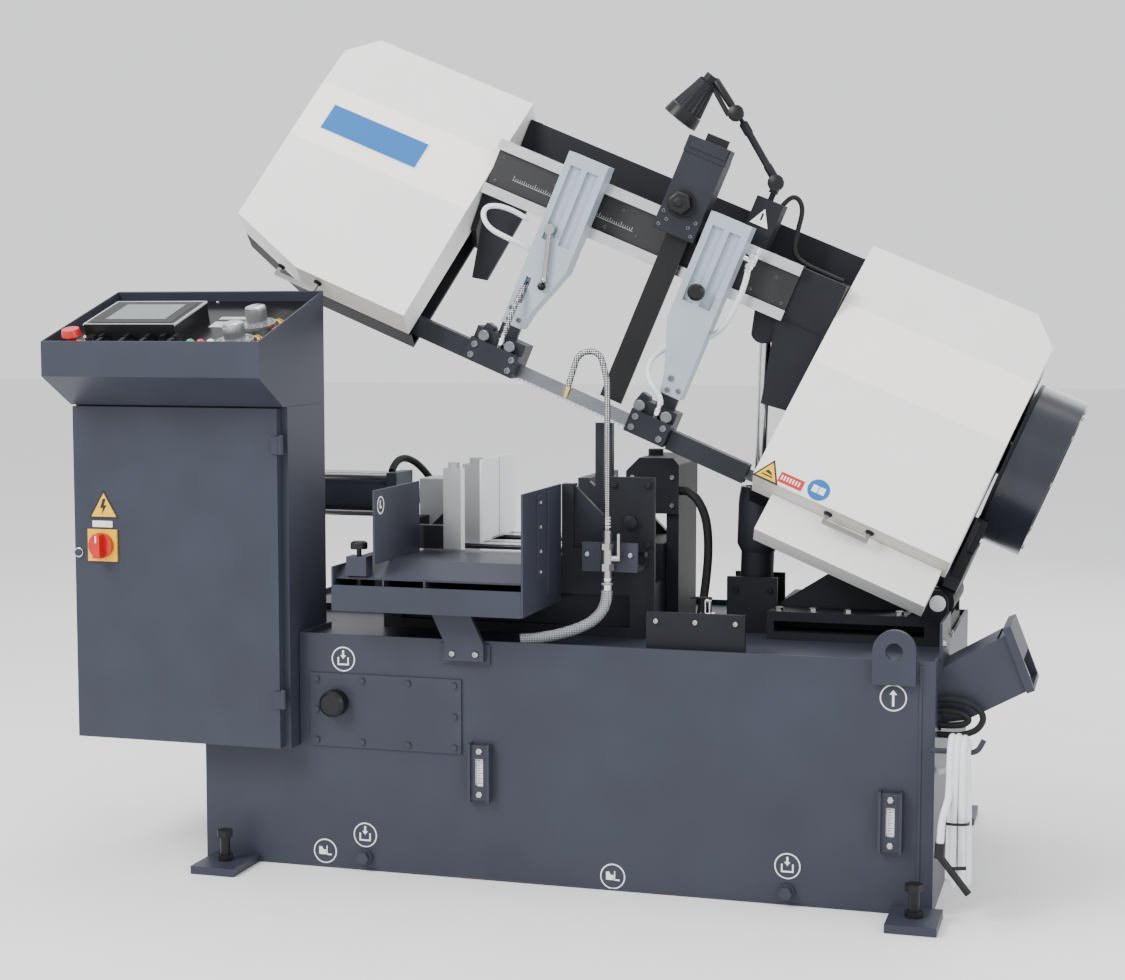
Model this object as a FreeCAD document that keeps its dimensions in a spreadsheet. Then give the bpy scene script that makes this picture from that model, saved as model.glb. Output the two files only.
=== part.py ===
"""Semi-automatic horizontal band saw: welded base, swinging saw head, power vise and control desk.

The frame's origin is the centre of the base's footprint on the floor: +X right, +Y back, +Z up.
Head parts are drawn in the head's own frame (origin on the pivot, X along the blade, Z square to it)
and then turned up about the pivot. Wheel covers and wheels lean back by the wheel tilt.
"""
import FreeCAD, Part
import os
import re
from math import acos, atan2, cos, degrees, pi, radians, sin, sqrt, tan
from types import SimpleNamespace

DIMENSIONS = {
    # welded base
    "base_length": 1476, "base_depth": 700, "base_height": 477, "base_wall": 6, "rim_height": 12,
    "foot_reach": 123, "foot_width": 94, "foot_thickness": 16, "foot_hole_radius": 10.05,
    "bolt_radius": 10, "bolt_height": 64, "hexagon_radius": 17, "nut_height": 14,
    "eye_radius": 40, "eye_hole_radius": 16, "eye_thickness": 16, "eye_height": 495,
    # electrical cabinet and control desk
    "cabinet_left": -997, "cabinet_width": 468, "cabinet_front": -391, "cabinet_back": -206,
    "cabinet_bottom": 248, "cabinet_wall": 3, "desk_bottom": 932, "lip_front": -521,
    "lip_low": 992, "lip_high": 1061, "desk_high": 1163, "door_depth": 20, "panel_drop": 20,
    "screen_width": 197, "screen_depth": 152, "screen_height": 35,
    "knob_radius": 20, "knob_height": 33, "dial_radius": 36, "stop_radius": 20,
    # tray, vise and bed
    "bed_top": 628, "strip_height": 4, "tray_left": -427, "tray_right": -38, "tray_front": -420,
    "sheet": 4, "plate_top": 773, "jaw_thickness": 38, "jaw_top": 799, "vise_rod_radius": 20,
    "cylinder_radius": 45, "saw_bed_top": 522,
    # saw head
    "head_angle": 23, "pivot_x": 715, "pivot_z": 550, "pivot_radius": 16, "pivot_tube_radius": 30,
    "wheel_tilt": 30, "tilt_y": 81, "tilt_z": 586, "cover_height": 563, "cover_depth": 82,
    "cover_sheet": 2, "cover_bulge": 8, "back_plate": 8, "back_plate_depth": 132,
    "wheel_radius": 184.8, "wheel_width": 27, "rim_thickness": 18, "web_thickness": 10,
    "hub_radius": 42, "hub_width": 46, "wheel_depth": 106, "wheel_level": -341,
    "left_wheel_x": -1420, "right_wheel_x": -213, "spindle_radius": 20,
    "blade_width": 27, "blade_thickness": 0.9, "blade_level": 77.5, "blade_y": -90,
    "beam_low": 384, "beam_high": 494, "beam_front": -22, "beam_back": 60, "beam_wall": 8,
    "beam_left": -1193, "beam_right": -430, "web_top": 554, "web_back": 108,
    "rail_height": 22, "rail_depth": 18, "rail_left": -1203, "rail_length": 688,
    "arm_front": -85, "arm_back": -40.5, "guide_depth": 70,
    # drive
    "guard_radius": 169.5, "guard_width": 90, "guard_left": 9, "worm_y": 120, "worm_z": 294.5,
    "motor_y": 330, "motor_z": 350, "motor_end_radius": 85, "motor_radius": 78, "motor_length": 250,
    "input_radius": 110, "motor_pulley_radius": 45, "belt_thickness": 8, "belt_width": 24,
    # lift cylinder, in the plane y = lift_y
    "lift_y": 20, "lift_top_x": -545, "lift_top_z": 345, "lift_foot_x": 333, "lift_foot_z": 500,
    "lift_barrel_radius": 34, "lift_bore_radius": 24, "lift_rod_radius": 12,
    "lift_barrel_length": 260, "lift_pin_radius": 8,
    # lamp joints, in the head's frame
    "lamp_y": 5, "lamp_base_x": -638, "lamp_base_z": 628, "lamp_top_x": -768, "lamp_top_z": 725,
    # coolant line and wash hose
    "gooseneck_radius": 6, "supply_radius": 11, "gooseneck_y": -240, "wash_radius": 7,
    "cable_radius": 6,
}

V = FreeCAD.Vector
doc = FreeCAD.newDocument("band_saw")
sheet = doc.addObject("Spreadsheet::Sheet", "Sizes")
for row, (alias, value) in enumerate(DIMENSIONS.items(), 1):
    sheet.set(f"A{row}", alias)
    sheet.set(f"B{row}", str(value))
    sheet.setAlias(f"B{row}", alias)
doc.recompute()
d = SimpleNamespace(**{alias: float(sheet.get(alias)) for alias in DIMENSIONS})

SUB_PARTS = []


def bound(size):
    """A size as an expression: names of cells get the sheet's name in front."""
    return re.sub(r"[a-z][a-z_]+", r"Sizes.\g<0>", size) if isinstance(size, str) else str(size)


def bind(thing, **sizes):
    for name, size in sizes.items():
        thing.setExpression(name, bound(size))
    return thing


def turned(axis, angle, at=(0, 0, 0)):
    return FreeCAD.Placement(V(*at), FreeCAD.Rotation(V(*axis), angle))


def moved(thing, frame):
    thing.Placement = frame.multiply(thing.Placement)
    return thing


HEAD = turned((0, 1, 0), d.head_angle, (d.pivot_x, 0, d.pivot_z))
TILT = turned((1, 0, 0), -d.wheel_tilt, (0, d.tilt_y, d.tilt_z))
HEAD_TILT = HEAD.multiply(TILT)
FLOOR = FreeCAD.Placement()


def block(corner, length, width, height):
    """A box with its lowest corner at corner."""
    box = bind(doc.addObject("Part::Box", "Block"), Length=length, Width=width, Height=height)
    box.Placement.Base = V(*corner)
    return box


def span(x, y, z):
    """A box between two limits along each axis."""
    return block((x[0], y[0], z[0]), x[1] - x[0], y[1] - y[0], z[1] - z[0])


def rod(start, axis, radius, length):
    """A round bar from start along axis."""
    bar = bind(doc.addObject("Part::Cylinder", "Rod"), Radius=radius, Height=length)
    bar.Placement = FreeCAD.Placement(V(*start), FreeCAD.Rotation(V(0, 0, 1), V(*axis)))
    return bar


def hexagon(start, axis, radius, length):
    nut = bind(doc.addObject("Part::Prism", "Hexagon"), Circumradius=radius, Height=length)
    nut.Polygon = 6
    nut.Placement = FreeCAD.Placement(V(*start), FreeCAD.Rotation(V(0, 0, 1), V(*axis)))
    return nut


def taper(start, axis, radius_a, radius_b, length):
    cone = bind(doc.addObject("Part::Cone", "Taper"), Radius1=radius_a, Radius2=radius_b, Height=length)
    cone.Placement = FreeCAD.Placement(V(*start), FreeCAD.Rotation(V(0, 0, 1), V(*axis)))
    return cone


def fused(*things):
    whole = doc.addObject("Part::MultiFuse", "Welded")
    whole.Shapes = list(things)
    return whole


def grouped(*things):
    group = doc.addObject("Part::Compound", "Group")
    group.Links = list(things)
    return group


def cut(base, *tools):
    result = doc.addObject("Part::Cut", "Cut")
    result.Base = base
    result.Tool = tools[0] if len(tools) == 1 else fused(*tools)
    return result


def common(first, second):
    result = doc.addObject("Part::MultiCommon", "Common")
    result.Shapes = [first, second]
    return result


def origin_plane(body, role):
    return next(item for item in body.Origin.OriginFeatures if item.Role == role)


def prism(along, outline, start, length):
    """A padded sketch. outline holds corners, or (middle, end) pairs for an arc, in the plane square
    to the axis 'x', 'y' or 'z'; the pad runs from start along that axis."""
    plane = {"x": "YZ_Plane", "y": "XZ_Plane", "z": "XY_Plane"}[along]
    body = doc.addObject("PartDesign::Body", "Padded")
    sketch = body.newObject("Sketcher::SketchObject", "Outline")
    sketch.AttachmentSupport = [(origin_plane(body, plane), "")]
    sketch.MapMode = "FlatFace"
    at = outline[0]
    for step in outline[1:] + [outline[0]]:
        if isinstance(step[0], tuple):
            middle, end = step
            arc = Part.Arc(V(*at, 0), V(*middle, 0), V(*end, 0))
            sketch.addGeometry(arc, False)
            at = end
        elif (V(*step, 0) - V(*at, 0)).Length > 1e-6:
            sketch.addGeometry(Part.LineSegment(V(*at, 0), V(*step, 0)), False)
            at = step
    pad = body.newObject("PartDesign::Pad", "Pad")
    pad.Profile = sketch
    bind(pad, Length=length)
    pad.Reversed = along == "y"
    shift = {"x": V(start, 0, 0), "y": V(0, start, 0), "z": V(0, 0, start)}[along]
    body.Placement.Base = shift
    sketch.Visibility = False
    return body


def round_end(centre, radius, from_angle, to_angle):
    """The (middle, end) pair of an arc about centre."""
    middle = radians((from_angle + to_angle) / 2)
    last = radians(to_angle)
    return ((centre[0] + radius * cos(middle), centre[1] + radius * sin(middle)),
            (centre[0] + radius * cos(last), centre[1] + radius * sin(last)))


def shaped(shape):
    """A feature whose shape comes from Part's own functions."""
    feature = doc.addObject("Part::Feature", "Shaped")
    feature.Shape = shape
    return feature


def rounded_path(points):
    """Straight runs joined by tangent arcs, with the arcs' radii."""
    points = [V(*p) for p in points]
    edges, radii, last = [], [], points[0]
    for before, corner, after in zip(points, points[1:], points[2:]):
        to_before, to_after = (before - corner), (after - corner)
        turn = pi - to_before.getAngle(to_after)
        reach = 0.45 * min(to_before.Length, to_after.Length)
        to_before.normalize()
        to_after.normalize()
        start, end = corner + to_before * reach, corner + to_after * reach
        radius = reach / tan(turn / 2)
        radii.append(radius)
        halfway = (to_before + to_after).normalize()
        middle = corner + halfway * (sqrt(radius ** 2 + reach ** 2) - radius)
        edges.append(Part.LineSegment(last, start).toShape())
        edges.append(Part.Arc(start, middle, end).toShape())
        last = end
    edges.append(Part.LineSegment(last, points[-1]).toShape())
    return Part.Wire(edges), radii


def tube(name, points, radius):
    """A round hose or cable along a rounded path; prints its length and radii."""
    wire, radii = rounded_path(points)
    first = wire.Edges[0]
    axis = first.tangentAt(first.FirstParameter)
    ring = Part.Wire([Part.Circle(V(*points[0]), axis, radius).toShape()])
    solid = wire.makePipeShell([ring], True, False)
    expected = pi * radius ** 2 * wire.Length
    print(f"{name}: length {wire.Length:.0f} mm, radii {min(radii):.0f} to {max(radii):.0f} mm, "
          f"volume ratio {solid.Volume / expected:.4f}")
    return shaped(solid)


def sub_part(label, thing, frame=FLOOR):
    moved(thing, frame)
    thing.Label = label
    SUB_PARTS.append(thing)
    return thing


# ---------------------------------------------------------------- base

HALF_X = d.base_length / 2
HALF_Y = d.base_depth / 2
DECK = d.base_height - d.rim_height
CABINET_RIGHT = d.cabinet_left + d.cabinet_width
FOOT_CENTRES = [(-667, -412), (711, -412), (-667, 412), (711, 412)]
HOOK = [(HALF_X - 3, -372, 318), (816, -372, 318), (828, -372, 342)]


def lifting_eye(x, front, direction):
    """A welded ear with a shackle hole; it stands off the wall at y = front towards direction."""
    low = d.eye_height - 62
    outline = [(x - d.eye_radius, low), (x + d.eye_radius, low), (x + d.eye_radius, d.eye_height),
               round_end((x, d.eye_height), d.eye_radius, 0, 180)]
    start = front if direction > 0 else front - d.eye_thickness
    ear = prism("y", outline, start, "eye_thickness")
    return cut(ear, rod((x, start - 5, d.eye_height), (0, 1, 0), "eye_hole_radius", d.eye_thickness + 10))


def base_cabinet():
    wall = d.base_wall
    notch = (HALF_X - (-CABINET_RIGHT)) + 2
    hull = cut(block((-HALF_X, -HALF_Y, 0), "base_length", "base_depth", "base_height"),
               span((-HALF_X - 1, -HALF_X + notch), (-HALF_Y - 1, d.cabinet_back + 2),
                    (d.cabinet_bottom - 1, d.base_height + 1)))
    inner_x, inner_y = (-HALF_X + wall, HALF_X - wall), (-HALF_Y + wall, HALF_Y - wall)
    keep = span((-HALF_X - 1, -HALF_X + notch + wall), (-HALF_Y - 1, d.cabinet_back + 2 + wall),
                (d.cabinet_bottom - 1 - wall, d.base_height + 1))
    tank = cut(span(inner_x, inner_y, (wall, DECK - wall)), keep)
    rim = cut(span(inner_x, inner_y, (DECK, d.base_height + 1)), keep)
    service_hole = span((-480, -210), (-HALF_Y - 1, -HALF_Y + wall + 1), (270, 380))
    chute_hole = span((HALF_X - wall - 1, HALF_X + 1), (-280, -130), (345, 445))
    feet = []
    for x, y in FOOT_CENTRES:
        near = -HALF_Y - d.foot_reach if y < 0 else HALF_Y
        foot = block((x - d.foot_width / 2, near, 0), "foot_width", "foot_reach", "foot_thickness")
        feet.append(cut(foot, rod((x, y, -1), (0, 0, 1), "foot_hole_radius", d.foot_thickness + 2)))
    eyes = [lifting_eye(663, -HALF_Y, -1), lifting_eye(663, HALF_Y, 1), lifting_eye(-663, HALF_Y, 1)]
    shell = cut(hull, tank, rim, service_hole, chute_hole)
    hook = tube("hose_hook", HOOK, 5)
    sub_part("base_cabinet", fused(shell, *feet, *eyes, hook))


def levelling_bolts():
    bolts = []
    for x, y in FOOT_CENTRES:
        bolts.append(fused(rod((x, y, 0), (0, 0, 1), "bolt_radius", "bolt_height"),
                           hexagon((x, y, d.foot_thickness), (0, 0, 1), "hexagon_radius", 12),
                           hexagon((x, y, d.bolt_height), (0, 0, 1), "hexagon_radius", "nut_height")))
    sub_part("levelling_bolts", grouped(*bolts))


def access_cover():
    """Service plate on the coolant tank, with ten hexagon screws round its edge."""
    low, high, left, right, thick = 250, 398, -502, -182, 4
    plate = span((left, right), (-HALF_Y - thick, -HALF_Y), (low, high))
    port = rod((-446, -HALF_Y - thick - 1, 340), (0, 1, 0), 15.06, thick + 2)
    screws = []
    for z in (low + 12, high - 12):
        for step in range(4):
            screws.append((left + 14 + step * (right - left - 28) / 3, z))
    screws += [(left + 14, (low + high) / 2), (right - 14, (low + high) / 2)]
    heads = [hexagon((x, -HALF_Y - thick, z), (0, -1, 0), 6, 4) for x, z in screws]
    return [cut(plate, port), *heads]


def filler_cap():
    at = (-446, -HALF_Y - 4.3, 340)
    cap = fused(rod(at, (0, -1, 0), 26, 26), taper((at[0], at[1] - 26, at[2]), (0, -1, 0), 26, 20, 6),
                rod((at[0], at[1] - 1, at[2]), (0, 1, 0), 15, 14))
    sub_part("filler_cap", cap)


def fluid_fittings():
    """Two sight gauges between welded bars, and two hexagon drain plugs."""
    pieces = []
    for x, z in ((-142, 217), (660, 175)):
        gauge = fused(span((x - 17, x + 17), (-HALF_Y - 14, -HALF_Y), (z - 55, z + 55)),
                      span((x - 22, x - 17), (-HALF_Y - 20, -HALF_Y), (z - 58, z + 58)),
                      span((x + 17, x + 22), (-HALF_Y - 20, -HALF_Y), (z - 58, z + 58)))
        window = span((x - 8, x + 8), (-HALF_Y - 15, -HALF_Y - 6), (z - 28, z + 28))
        pieces.append(cut(gauge, window))
    for x, z in ((-388, 28), (466, 26)):
        pieces.append(fused(rod((x, -HALF_Y, z), (0, -1, 0), 16, 8),
                            hexagon((x, -HALF_Y - 8, z), (0, -1, 0), 13, 12)))
    return pieces


def base_fittings():
    sub_part("base_fittings", grouped(*access_cover(), *fluid_fittings()))


# ---------------------------------------------------------------- cabinet and control desk

DESK_SLOPE = degrees(atan2(d.desk_high - d.lip_high, d.cabinet_back - d.lip_front))
DESK = turned((1, 0, 0), DESK_SLOPE, (d.cabinet_left, d.lip_front, d.lip_high))
HINGE_X = CABINET_RIGHT - 6
HINGE_Y = d.cabinet_front - d.door_depth - 1


def electrical_cabinet():
    wall = d.cabinet_wall
    outer = span((d.cabinet_left, CABINET_RIGHT), (d.cabinet_front, d.cabinet_back),
                 (d.cabinet_bottom, d.desk_bottom))
    inside = span((d.cabinet_left + wall, CABINET_RIGHT - wall),
                  (d.cabinet_front + wall, d.cabinet_back - wall),
                  (d.cabinet_bottom + wall, d.desk_bottom - wall))
    doorway = span((d.cabinet_left + 25, CABINET_RIGHT - 30), (d.cabinet_front - 1, d.cabinet_front + wall + 1),
                   (d.cabinet_bottom + 25, d.desk_bottom - 25))
    mounting = span((d.cabinet_left + 40, CABINET_RIGHT - 40),
                    (d.cabinet_back - wall - 12, d.cabinet_back - wall),
                    (d.cabinet_bottom + 50, d.desk_bottom - 50))
    shell = fused(cut(outer, inside, doorway), mounting)
    sub_part("electrical_cabinet", shell)


def cabinet_door():
    """Folded door pan with its lock, the yellow isolator plate and the hinge knuckles."""
    left, right = d.cabinet_left + 4, CABINET_RIGHT - 14
    low, high = d.cabinet_bottom + 3, d.desk_bottom - 3
    front = d.cabinet_front - d.door_depth - 1
    pan = span((left, right), (front, d.cabinet_front - 1), (low, high))
    hollow = span((left + 2, right - 2), (front + 2, d.cabinet_front), (low + 2, high - 2))
    lock = rod((left + 9, front, 631), (0, -1, 0), 7, 6)
    plate = span((-961, -896), (front - 5, front), (615, 680))
    knuckles = []
    for z in (333, 840):
        knuckles.append(rod((HINGE_X, HINGE_Y - 1, z), (0, 0, 1), 5, 34))
        knuckles.append(span((right - 12, HINGE_X), (HINGE_Y - 4, HINGE_Y - 1), (z, z + 34)))
    sub_part("cabinet_door", grouped(fused(cut(pan, hollow), *knuckles), lock, plate))


def isolator_knob():
    front = d.cabinet_front - d.door_depth - 6
    at = (-928.5, front - 0.4, 647.5)
    base = rod(at, (0, -1, 0), 26, 10)
    grip = span((at[0] - 8, at[0] + 8), (at[1] - 26, at[1] - 9), (at[2] - 24, at[2] + 24))
    sub_part("isolator_knob", fused(base, grip))


def console_housing():
    """Sheet desk with sloping sides, open above the recessed panel."""
    back = d.cabinet_back
    outline = [(d.cabinet_front - d.door_depth, d.desk_bottom + 0.5), (d.lip_front, d.lip_low),
               (d.lip_front, d.lip_high), (back, d.desk_high), (back, d.desk_bottom + 0.5)]
    outer = prism("x", outline, d.cabinet_left, "cabinet_width")
    slope = sqrt((back - d.lip_front) ** 2 + (d.desk_high - d.lip_high) ** 2)
    recess = moved(span((3, d.cabinet_width - 3), (3.5, slope - 7), (-d.panel_drop - 4, 40)), DESK)
    hollow_outline = [(d.cabinet_front - 5, d.desk_bottom - 5), (d.lip_front + 3, d.lip_low + 6),
                      (d.lip_front + 3, d.lip_high - 20), (back - 4, d.desk_high - 20),
                      (back - 4, d.desk_bottom - 5)]
    hollow = prism("x", hollow_outline, d.cabinet_left + 3, d.cabinet_width - 6)
    sub_part("console_housing", cut(outer, recess, hollow))


PANEL_TOP = -20
SWITCHES = [(119, 19), (169, 19), (214, 19), (274, 19), (111, 46), (166, 46), (211, 46), (244, 46), (272, 46)]
JOINTED_SWITCHES = {1: "selector_left", 3: "selector_right"}
KNOBS = {"feed_knob": (392, 57), "pressure_knob": (394, 160)}
STOP_AT, START_AT = (49, 36), (86, 40)
SCREEN_AT = (65, 62)


def console_panel():
    slope = sqrt((d.cabinet_back - d.lip_front) ** 2 + (d.desk_high - d.lip_high) ** 2)
    plate = span((3.5, d.cabinet_width - 3.5), (4, slope - 7.5), (PANEL_TOP - 4, PANEL_TOP))
    holes = [rod((STOP_AT[0], STOP_AT[1], PANEL_TOP - 5), (0, 0, 1), 8.4, 6),
             rod((START_AT[0], START_AT[1], PANEL_TOP - 5), (0, 0, 1), 8.4, 6)]
    sub_part("console_panel", cut(plate, *holes), DESK)


def hmi_screen():
    x, y = SCREEN_AT
    case = block((x, y, PANEL_TOP), "screen_width", "screen_depth", "screen_height")
    glass = span((x + 16, x + d.screen_width - 16), (y + 14, y + d.screen_depth - 14),
                 (PANEL_TOP + d.screen_height - 2, PANEL_TOP + d.screen_height + 1))
    sub_part("hmi_screen", cut(case, glass), DESK)


def selector(x, y, lift=0.0):
    """A round switch body with a raised finger grip."""
    low = PANEL_TOP + lift
    handle = span((x - 4, x + 4), (y - 10, y + 10), (low + 8, low + 19))
    return fused(rod((x, y, low), (0, 0, 1), 11, 9), handle)


def desk_controls():
    plates = [cut(rod((*STOP_AT, PANEL_TOP), (0, 0, 1), 22, 3),
                  rod((*STOP_AT, PANEL_TOP - 1), (0, 0, 1), 8.4, 5))]
    for x, y in KNOBS.values():
        plates.append(rod((x, y, PANEL_TOP), (0, 0, 1), "dial_radius", 6))
    for number, (x, y) in enumerate(SWITCHES):
        if number not in JOINTED_SWITCHES:
            plates.append(selector(x, y))
    sub_part("panel_fittings", grouped(*plates), DESK)
    for number, label in JOINTED_SWITCHES.items():
        sub_part(label, selector(*SWITCHES[number], 0.3), DESK)
    stem = rod((*STOP_AT, PANEL_TOP - 8), (0, 0, 1), 8, 30)
    head = taper((*STOP_AT, PANEL_TOP + 20), (0, 0, 1), "stop_radius", 17, 14)
    sub_part("stop_button", fused(stem, head), DESK)
    stem = rod((*START_AT, PANEL_TOP - 8), (0, 0, 1), 8, 20)
    cap = rod((*START_AT, PANEL_TOP + 8), (0, 0, 1), 12, 10)
    sub_part("start_button", fused(stem, cap), DESK)
    for label, (x, y) in KNOBS.items():
        grip = rod((x, y, PANEL_TOP + 6.3), (0, 0, 1), "knob_radius", "knob_height")
        mark = span((x - 1.5, x + 1.5), (y, y + d.knob_radius + 2), (PANEL_TOP + 8, PANEL_TOP + 14))
        sub_part(label, fused(grip, mark), DESK)


# ---------------------------------------------------------------- tray, bed and vise

TROUGH = (-128, -48)


def front_tray():
    """Chip tray with a sloping apron, its strut on the base and the two dark guard plates."""
    left, right, front, t = d.tray_left, d.tray_right, d.tray_front, d.sheet
    floor = span((left, right), (front, -170), (535, 535 + t))
    lip = span((left, right), (front, front + t), (535, 586))
    wall = span((left, left + t), (front, -200), (535, 622))
    apron = prism("x", [(front + 12, 597), (front + 12, 601), (-330, 628), (-160, 628), (-160, 624),
                        (-328, 624)],
                  left + t, right - left - t)
    rib = span((left + 190, left + 194), (front + t, -180), (539, 598))
    stud = span((-398, -356), (-414, -380), (604, 642))
    strut = prism("y", [(-242, 535), (-162, 535), (-132, 472), (-132, 438), (-212, 438), (-212, 472)], -366, 12)
    strut_foot = span((-222, -122), (-354, -350), (430, 470))
    left_plate = span((-339, -335), (-420, -170), (628.2, d.plate_top))
    right_plate = span((-37.5, -33.5), (-420, -160), (536, d.plate_top))
    tray = fused(floor, lip, wall, apron, rib)
    sub_part("front_tray", grouped(tray, fused(strut, strut_foot), left_plate, right_plate, stud))


def vise_bed():
    """Cast bed of three bolted blocks: a base under the trough, a front rail and a rear table."""
    floor_level = 570
    base = cut(span((-420, 150), (-158, 250), (DECK, floor_level)),
               span((-380, 110), (-180, -140), (DECK + 20, 550)),
               span((-400, 130), (-100, 230), (DECK - 1, 555)))
    front_rail = span((-420, 150), (-158, TROUGH[0]), (floor_level, d.bed_top))
    rear_table = cut(span((-420, 150), (TROUGH[1], 250), (floor_level, d.bed_top)),
                     span((-400, 151), (70, 130), (600, d.bed_top + 1)))
    sub_part("vise_bed", grouped(base, front_rail, rear_table))


def wear_strips():
    strips = []
    for y, width in ((-156, 24), (-44, 40), (10, 40), (140, 40), (196, 40)):
        strips.append(block((-400, y, d.bed_top), 355, width, "strip_height"))
    sub_part("wear_strips", grouped(*strips))


def fixed_jaw():
    """Fixed jaw: two face plates either side of the trough, ribs, foot and the tall post."""
    foot_top = d.bed_top + 16
    rear_foot = span((-33, 150), (-37, 200), (d.bed_top, foot_top))
    rear_face = span((-33, -8), (-37, 200), (foot_top, d.plate_top + 3))
    rear_rib = prism("y", [(-8, foot_top), (118, foot_top), (-8, d.plate_top - 4)], -37, 16)
    back_rib = prism("y", [(-8, foot_top), (118, foot_top), (-8, d.plate_top - 4)], 150, 16)
    front_foot = span((-33, 140), (-158, -130), (d.bed_top, foot_top))
    front_face = span((-33, -8), (-158, -130), (foot_top, d.plate_top))
    front_rib = prism("y", [(-8, foot_top), (118, foot_top), (-8, d.plate_top - 4)], -150, 14)
    post = span((4, 40), (-37, -19), (foot_top, 891))
    sub_part("fixed_jaw", grouped(fused(rear_foot, rear_face, rear_rib, back_rib, post),
                                  fused(front_foot, front_face, front_rib)))


VISE_Z = 720
VISE_Y = 100


def moving_jaw():
    """Moving jaw: a short block before the blade and a long one behind it, joined by a yoke in the trough."""
    right = -250
    left = right - d.jaw_thickness
    yoke_left, yoke_right = -418, -396
    low, bar_top = d.bed_top + d.strip_height + 0.3, 680
    sole, sole_top = 574, 592
    front = fused(span((left, right), (-156, -131), (low, d.jaw_top)),
                  rod((left + 19, -143, d.jaw_top), (0, 0, 1), 12, 12))
    rear = fused(span((left, right), (-34, 205), (low, d.jaw_top)),
                 rod((left + 19, 0, d.jaw_top), (0, 0, 1), 14, 12),
                 span((yoke_left, left), (55, 145), (low, d.jaw_top - 40)))
    plate = span((right, right + 5), (-34, 204), (low + 6, d.jaw_top + 10))
    front_bar = span((yoke_left, left), (-156, -131), (low, bar_top))
    front_leg = prism("x", [(-131, bar_top), (-131, low), (-126, low), (-126, sole), (-110, sole),
                            (-110, bar_top)], yoke_left, yoke_right - yoke_left)
    yoke_sole = span((yoke_left, yoke_right), (-110, -64), (sole, sole_top))
    rear_leg = span((yoke_left, yoke_right), (-64, -50), (sole, bar_top))
    rear_bar = span((yoke_left, yoke_right), (-50, 55), (low, bar_top))
    vise_rod = rod((yoke_left, VISE_Y, VISE_Z), (-1, 0, 0), "vise_rod_radius", 275)
    yoke = [front_bar, front_leg, yoke_sole, rear_leg, rear_bar]
    sub_part("moving_jaw", grouped(rear, plate, vise_rod, front, *yoke))


def vise_drive():
    left, length = -720, 250
    barrel = rod((left, VISE_Y, VISE_Z), (1, 0, 0), "cylinder_radius", length)
    bore = rod((left + 20, VISE_Y, VISE_Z), (1, 0, 0), 36, length - 40)
    gland = rod((left + length - 30, VISE_Y, VISE_Z), (1, 0, 0), 20.06, 40)
    end_caps = [span((left, left + 24), (VISE_Y - 50, VISE_Y + 50), (VISE_Z - 50, VISE_Z + 50)),
                span((left + length - 24, left + length), (VISE_Y - 50, VISE_Y + 50),
                     (VISE_Z - 50, VISE_Z + 50))]
    stand = [span((left + 4, left + 24), (VISE_Y - 40, VISE_Y + 40), (DECK, VISE_Z - 50)),
             span((left + length - 24, left + length - 4), (VISE_Y - 40, VISE_Y + 40), (DECK, VISE_Z - 50))]
    foot = span((left, left + length), (VISE_Y - 60, VISE_Y + 60), (DECK, DECK + 14))
    sub_part("vise_cylinder", cut(fused(barrel, *end_caps, *stand, foot), bore, gland))


def hydraulic_unit():
    """Hydraulic power pack: bevelled tank and front plate, on a stand beside the fixed jaw."""
    tank = prism("y", [(68, 705), (180, 705), (180, 806), (168, 820), (96, 820), (68, 792)], -30, 180)
    stand = span((152, 178), (-20, 150), (DECK, 706))
    plate = span((68, 163), (-170, -159), (640, 790))
    bracket = span((152, 163), (-170, -159), (DECK, 645))
    cap = rod((110, 60, 819), (0, 0, 1), 16, 14)
    sub_part("hydraulic_unit", grouped(fused(tank, stand, cap), fused(plate, bracket)))


# ---------------------------------------------------------------- saw bed and pivot

def saw_bed():
    """Welded bed that carries the pivot ears and the lift cylinder's cheeks."""
    top = d.saw_bed_top
    plate = fused(span((378, 729), (-100, -31), (DECK, top)), span((386, 729), (-32, 72), (DECK, top)),
                  span((378, 729), (71, 240), (DECK, top)))
    slot = span((392, 690), (-101, -30), (DECK + 16, DECK + 38))
    dip = span((662, 736), (-79, 153), (top - 14, top + 1))
    skirt = span((186, 378), (-330, -318), (DECK, 545))
    cheeks = [span((282, 386), (d.lift_y - 50, d.lift_y - 40), (DECK, 580)),
              span((282, 386), (d.lift_y + 40, d.lift_y + 50), (DECK, 580)),
              rod((d.lift_foot_x, d.lift_y - 50, d.lift_foot_z), (0, 1, 0), "lift_pin_radius", 100)]
    rib = prism("y", [(380, top), (496, 596), (560, 596), (655, top)], -18, 16)
    ears = []
    for y in (-98, 154):
        ear = prism("y", [(655, top - 20), (735, top - 20), (d.pivot_x + 20, d.pivot_z),
                          round_end((d.pivot_x, d.pivot_z), 26, 0, 180), (655, top)], y, 18)
        ears.append(ear)
    body = fused(plate, rib, *ears, *cheeks)
    bore = rod((d.pivot_x, -110, d.pivot_z), (0, 1, 0), d.pivot_radius + 0.02, 300)
    sub_part("saw_bed", grouped(cut(body, slot, dip, bore), skirt))
    sub_part("pivot_shaft", fused(rod((d.pivot_x, -98, d.pivot_z), (0, 1, 0), "pivot_radius", 270),
                                  hexagon((d.pivot_x, 172, d.pivot_z), (0, 1, 0), 24, 14)))


# ---------------------------------------------------------------- saw head

LEFT_OUTLINE = [(-1205, 0), (-1579, 0), (-1636, -58), (-1636, -506), (-1462, -563), (-1205, -563)]
RIGHT_OUTLINE = [(-420, 0), (-62, 0), (-7, -60), (-7, -563), (-420, -563)]


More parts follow.
